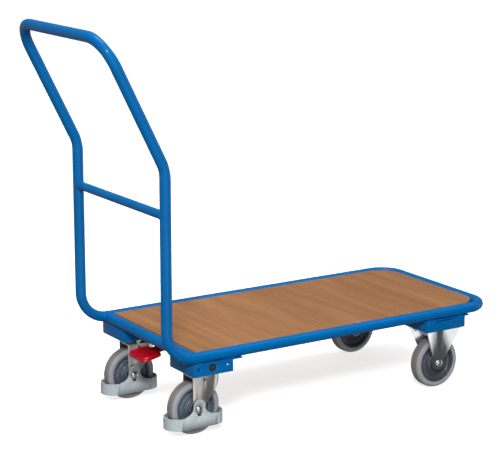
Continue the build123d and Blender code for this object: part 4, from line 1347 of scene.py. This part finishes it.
@dataclass
class Brake:
    """Central brake: pedal with a raised rim and ribs, shaft, bushes and cams."""

    finishes: Finishes
    tilt: float = 9.0
    near: float = 25 * MM
    far: float = 82 * MM
    rear_width: float = 82 * MM
    front_width: float = 74 * MM
    thickness: float = 9 * MM
    drop: float = 1.5 * MM
    corner_power: float = 4.5
    well: float = 2.7 * MM
    rim_rise: float = 2.3 * MM
    lobe_rise: float = 1.2 * MM
    rib_height: float = 0.22 * MM
    rib_pitch: float = 9 * MM
    edge_fall: float = 2.6 * MM
    side_fall: float = 5.2 * MM
    hub_half: float = 17 * MM
    hub_r: float = 11 * MM
    hub_bore: float = 6.6 * MM
    neck_half: float = 15 * MM

    def tread_plate(self) -> Shell:
        """The pedal's plate as rings that shrink from its outline to the middle.

        The outline is a superellipse, |u|^n + |v|^n = 1, whose width grows from front to rear. At
        scale s the top is the well's floor, plus a rim exp(-((s - 0.86) / 0.075)^2), plus lobes at
        both ends, plus cos-shaped ribs inside s = 0.7, less a rounded edge outside s = 0.9. Rings
        marked with less than 1 lead down the side and under the plate.

        Returns:
            The surface.
        """
        a = np.linspace(0, TURN, 120, endpoint=False)
        u = np.sign(np.cos(a)) * np.abs(np.cos(a)) ** (2 / self.corner_power)
        v = np.sign(np.sin(a)) * np.abs(np.sin(a)) ** (2 / self.corner_power)
        length = self.far - self.near
        over = [0, 0.12, 0.24, 0.36, 0.48, 0.58, 0.66, 0.73, 0.79, 0.84, 0.88, 0.92, 0.955, 0.98,
                0.995]
        under = [(1, 0.55), (1, 0.2), (0.985, 0.06), (0.95, 0), (0.8, 0), (0.4, 0), (0, 0)]
        rings = np.array([(scale, 1) for scale in over] + under, float)
        scale, up = rings[:, :1], rings[:, 1:]
        x = scale * u * length / 2
        share = (x + length / 2) / length
        half_width = (self.rear_width * (1 - share) + self.front_width * share) / 2
        y = scale * v * half_width
        rim = np.exp(-(((scale - 0.86) / 0.075) ** 2)) * self.rim_rise
        lobes = np.clip((np.abs(y) / half_width - 0.7) / 0.25, 0, 1) ** 2 * self.lobe_rise
        ribs = self.rib_height * (1 + np.cos(TURN * y / self.rib_pitch))
        edge = self.edge_fall * np.clip((scale - 0.9) / 0.1, 0, 1) ** 2
        top = -self.well + rim + lobes * (scale < 0.97) + ribs * (scale < 0.7) - edge
        side = -self.thickness + up * (self.thickness - self.side_fall)
        z = np.where(up == 1, top, side)
        points = np.stack([x - (self.near + self.far) / 2, y, z - self.drop], -1)
        return lattice(points, wrap_rows=False, wrap_cols=True)

    def neck(self) -> Shell:
        """The flat neck between plate and hub, a prism with four corners in the XZ plane.

        Returns:
            The surface.
        """
        back, front = -self.near - 5 * MM, -4 * MM
        corners = [(back, -self.drop - self.thickness + 1.2 * MM),
                   (back, -self.drop - self.edge_fall), (front, -0.5 * MM), (front, -8.5 * MM)]
        rows = [[(x, y, z) for x, z in corners] for y in (-self.neck_half, self.neck_half)]
        return lattice(np.array(rows), wrap_rows=False, wrap_cols=True, caps=True)

    def hub(self, shaft: Vector) -> Shell:
        """The hub round the shaft, with a shallow groove round its middle.

        Args:
            shaft: Centre of the shaft.

        Returns:
            The surface.
        """
        half, r, edge, groove = self.hub_half, self.hub_r, 0.8 * MM, 0.7 * MM
        half_ring = [(self.hub_bore, -half), (r - edge, -half), (r, -half + edge), (r, -4 * MM),
                     (r - groove, -3 * MM)]
        ring = np.array(half_ring + [(x, -y) for x, y in reversed(half_ring)])
        return turned(ring, (shaft.x, 0, shaft.z), segments=48)

    def pedal(self) -> Shell:
        """Plate and neck, turned by the pedal's tilt about the shaft, and the hub.

        Returns:
            The surface.
        """
        shaft = middle("brake_shaft")
        t = math.radians(-self.tilt)
        turn = np.array([[math.cos(t), 0, math.sin(t)], [0, 1, 0], [-math.sin(t), 0, math.cos(t)]])
        leaf = joined([self.tread_plate(), self.neck()])
        leaf.points = leaf.points @ turn.T + np.array(shaft)
        return joined([leaf, self.hub(shaft)])

    def build(self) -> None:
        """Makes and dresses the brake."""
        pedal = new_piece("foot_pedal", self.pedal(), [self.finishes.red], sharp=40)
        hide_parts("brake_pedal")
        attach(pedal, "brake")
        for node in ("brake_shaft", "brake_cams", "kingpins"):
            dress(node, self.finishes.steel)
        dress("shaft_bushes", self.finishes.bush)
        dress("upper_races", self.finishes.satin)


# ------------------------------------------------------------------ studio
@dataclass(frozen=True)
class Softbox:
    """A square area light."""

    name: str
    place: Place
    size: float
    watts: float

    def hang(self, aim: Place) -> None:
        """Puts the light in the scene.

        Args:
            aim: The point that it looks at.
        """
        data = bpy.data.lights.new(self.name, "AREA")
        data.shape, data.size, data.energy = "SQUARE", self.size, self.watts
        lamp = bpy.data.objects.new(self.name, data)
        lamp.location = self.place
        way = Vector(aim) - Vector(self.place)
        lamp.rotation_euler = way.to_track_quat("-Z", "Y").to_euler()
        bpy.context.scene.collection.objects.link(lamp)


@dataclass(frozen=True)
class Surroundings:
    """Soft surroundings: brightness along the compass, times brightness along the height.

    compass holds (degrees from -180 to 180, brightness), where the angle is atan2(x, -y) of the
    direction; heights holds (share from 0 straight down to 1 straight up, brightness).
    """

    strength: float = 1.15
    compass: tuple[Span, ...] = (
        (-180, 0.34), (-110, 0.26), (-60, 0.35), (-42, 0.4), (-24, 0.9), (-6, 0.95), (14, 0.9),
        (24, 0.08), (50, 0.06), (64, 0.6), (74, 1.0), (90, 1.0), (102, 0.2), (180, 0.34))
    heights: tuple[Span, ...] = (
        (0.0, 0.25), (0.25, 0.5), (0.34, 1.0), (0.53, 1.0), (0.61, 0.45), (0.84, 0.45), (0.93, 1.3),
        (1.0, 2.0))

    def ramp(self, tree: bpy.types.NodeTree, value: Socket, stops: Sequence[Span]) -> Socket:
        """Brightness along a line of stops.

        Args:
            tree: The node tree.
            value: Place on the line, from 0 to 1.
            stops: (place, brightness), the first at 0 and the last at 1.

        Returns:
            The brightness.
        """
        node = tree.nodes.new("ShaderNodeValToRGB")
        tree.links.new(value, node.inputs[0])
        elements = node.color_ramp.elements
        for place, tone in stops[1:-1]:
            elements.new(place).color = (tone, tone, tone, 1)
        for element, (place, tone) in ((elements[0], stops[0]), (elements[-1], stops[-1])):
            element.position, element.color = place, (tone, tone, tone, 1)
        return node.outputs[0]

    def maths(self, tree: bpy.types.NodeTree, kind: str, *values: float | Socket) -> Socket:
        """A calculation with up to three values.

        Args:
            tree: The node tree.
            kind: Name of the operation.
            *values: Numbers or sockets, in the operation's order.

        Returns:
            The result.
        """
        node = tree.nodes.new("ShaderNodeMath")
        node.operation = kind
        for socket, value in zip(node.inputs, values):
            if isinstance(value, float):
                socket.default_value = value
            else:
                tree.links.new(value, socket)
        return node.outputs[0]

    def make(self) -> None:
        """Makes the surroundings and gives them to the scene."""
        world = bpy.data.worlds.new("studio_surroundings")
        world.use_nodes = True
        tree = world.node_tree
        split = tree.nodes.new("ShaderNodeSeparateXYZ")
        tree.links.new(tree.nodes.new("ShaderNodeTexCoord").outputs["Generated"], split.inputs[0])
        x, y, z = (split.outputs[axis] for axis in "XYZ")
        angle = self.maths(tree, "ARCTAN2", x, self.maths(tree, "MULTIPLY", y, -1.0))
        round_share = self.maths(tree, "MULTIPLY_ADD", angle, 1 / TURN, 0.5)
        height_share = self.maths(tree, "MULTIPLY_ADD", z, 0.5, 0.5)
        stops = [((degrees + 180) / 360, tone) for degrees, tone in self.compass]
        back = tree.nodes["Background"]
        tree.links.new(self.ramp(tree, round_share, stops), back.inputs["Color"])
        upright = self.ramp(tree, height_share, self.heights)
        lit = self.maths(tree, "MULTIPLY", upright, self.strength)
        tree.links.new(lit, back.inputs["Strength"])
        bpy.context.scene.world = world


@dataclass
class Studio:
    """Pale floor and backdrop, soft light and the camera."""

    aim: Place = (-0.0052, 0.0489, 0.4047)
    distance: float = 4.1469
    azimuth: float = -32.53
    elevation: float = 12.84
    lens: float = 125.3
    farthest: float = 200.0
    floor_size: float = 90.0
    wall_height: float = 25.0
    glow: float = 0.72
    middle: Place = (0.0, 0.0, 0.35)
    lights: tuple[Softbox, ...] = (Softbox("key_light", (-2.2, -3.1, 2.6), 0.7, 128),
                                   Softbox("top_light", (-0.2, 0.2, 3.6), 1.6, 58))

    def paper(self) -> Material:
        """White paper that glows a little.

        Returns:
            The material.
        """
        bench = Bench("studio_floor").set(roughness=0.9, specular_ior_level=0.0,
                                          emission_color=(1, 1, 1, 1), emission_strength=self.glow)
        tone = bench.ranged(bench.noise(0.7), (0.3, 0.7))
        return bench.colour(bench.blend(tone, (0.88, 0.88, 0.88, 1), (0.9, 0.9, 0.9, 1))).material

    def floor(self) -> None:
        """A wide floor and walls far away round it, which the truck's own sheen doesn't pick up."""
        half = self.floor_size / 2
        low = np.array([(-half, -half, 0), (half, -half, 0), (half, half, 0), (-half, half, 0)])
        high = low + (0, 0, self.wall_height)
        sides = [(n, (n + 1) % 4, (n + 1) % 4 + 4, n + 4) for n in range(4)]
        paper = [self.paper()]
        floor = new_piece("floor", Shell(low, [(0, 1, 2, 3)], [0]), paper)
        walls = new_piece("backdrop", Shell(np.vstack([low, high]), sides, [0] * 4), paper)
        walls.visible_shadow = False
        for part in (floor, walls):
            part.visible_glossy = False
            part.visible_diffuse = False

    def camera(self) -> None:
        """The camera, on a long lens."""
        data = bpy.data.cameras.new("camera")
        data.lens, data.clip_end = self.lens, self.farthest
        eye = bpy.data.objects.new("camera", data)
        a, e = math.radians(self.azimuth), math.radians(self.elevation)
        back = Vector((math.sin(a) * math.cos(e), -math.cos(a) * math.cos(e), math.sin(e)))
        eye.location = Vector(self.aim) + back * self.distance
        eye.rotation_euler = (-back).to_track_quat("-Z", "Y").to_euler()
        bpy.context.scene.collection.objects.link(eye)
        bpy.context.scene.camera = eye

    def build(self) -> None:
        """Sets everything up, with plain display colours."""
        self.floor()
        Surroundings().make()
        for light in self.lights:
            light.hang(self.middle)
        self.camera()
        view = bpy.context.scene.view_settings
        view.view_transform, view.look = "Standard", "None"


def main() -> None:
    """Builds the truck round its frame."""
    logging.basicConfig(level=logging.INFO, format="%(name)s: %(message)s")
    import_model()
    finishes, places = Finishes(), Places()
    TubeFrame(places, finishes).build()
    DeckPanel(finishes).build()
    Brackets(finishes).build()
    for side in Side:
        SwivelCastor(side, finishes).build()
        FixedCastor(side, finishes).build()
        for end in End:
            Wheel(end, side, finishes).build()
    Fasteners(finishes).build()
    Brake(finishes).build()
    Studio().build()


if __name__ == "__main__":
    main()
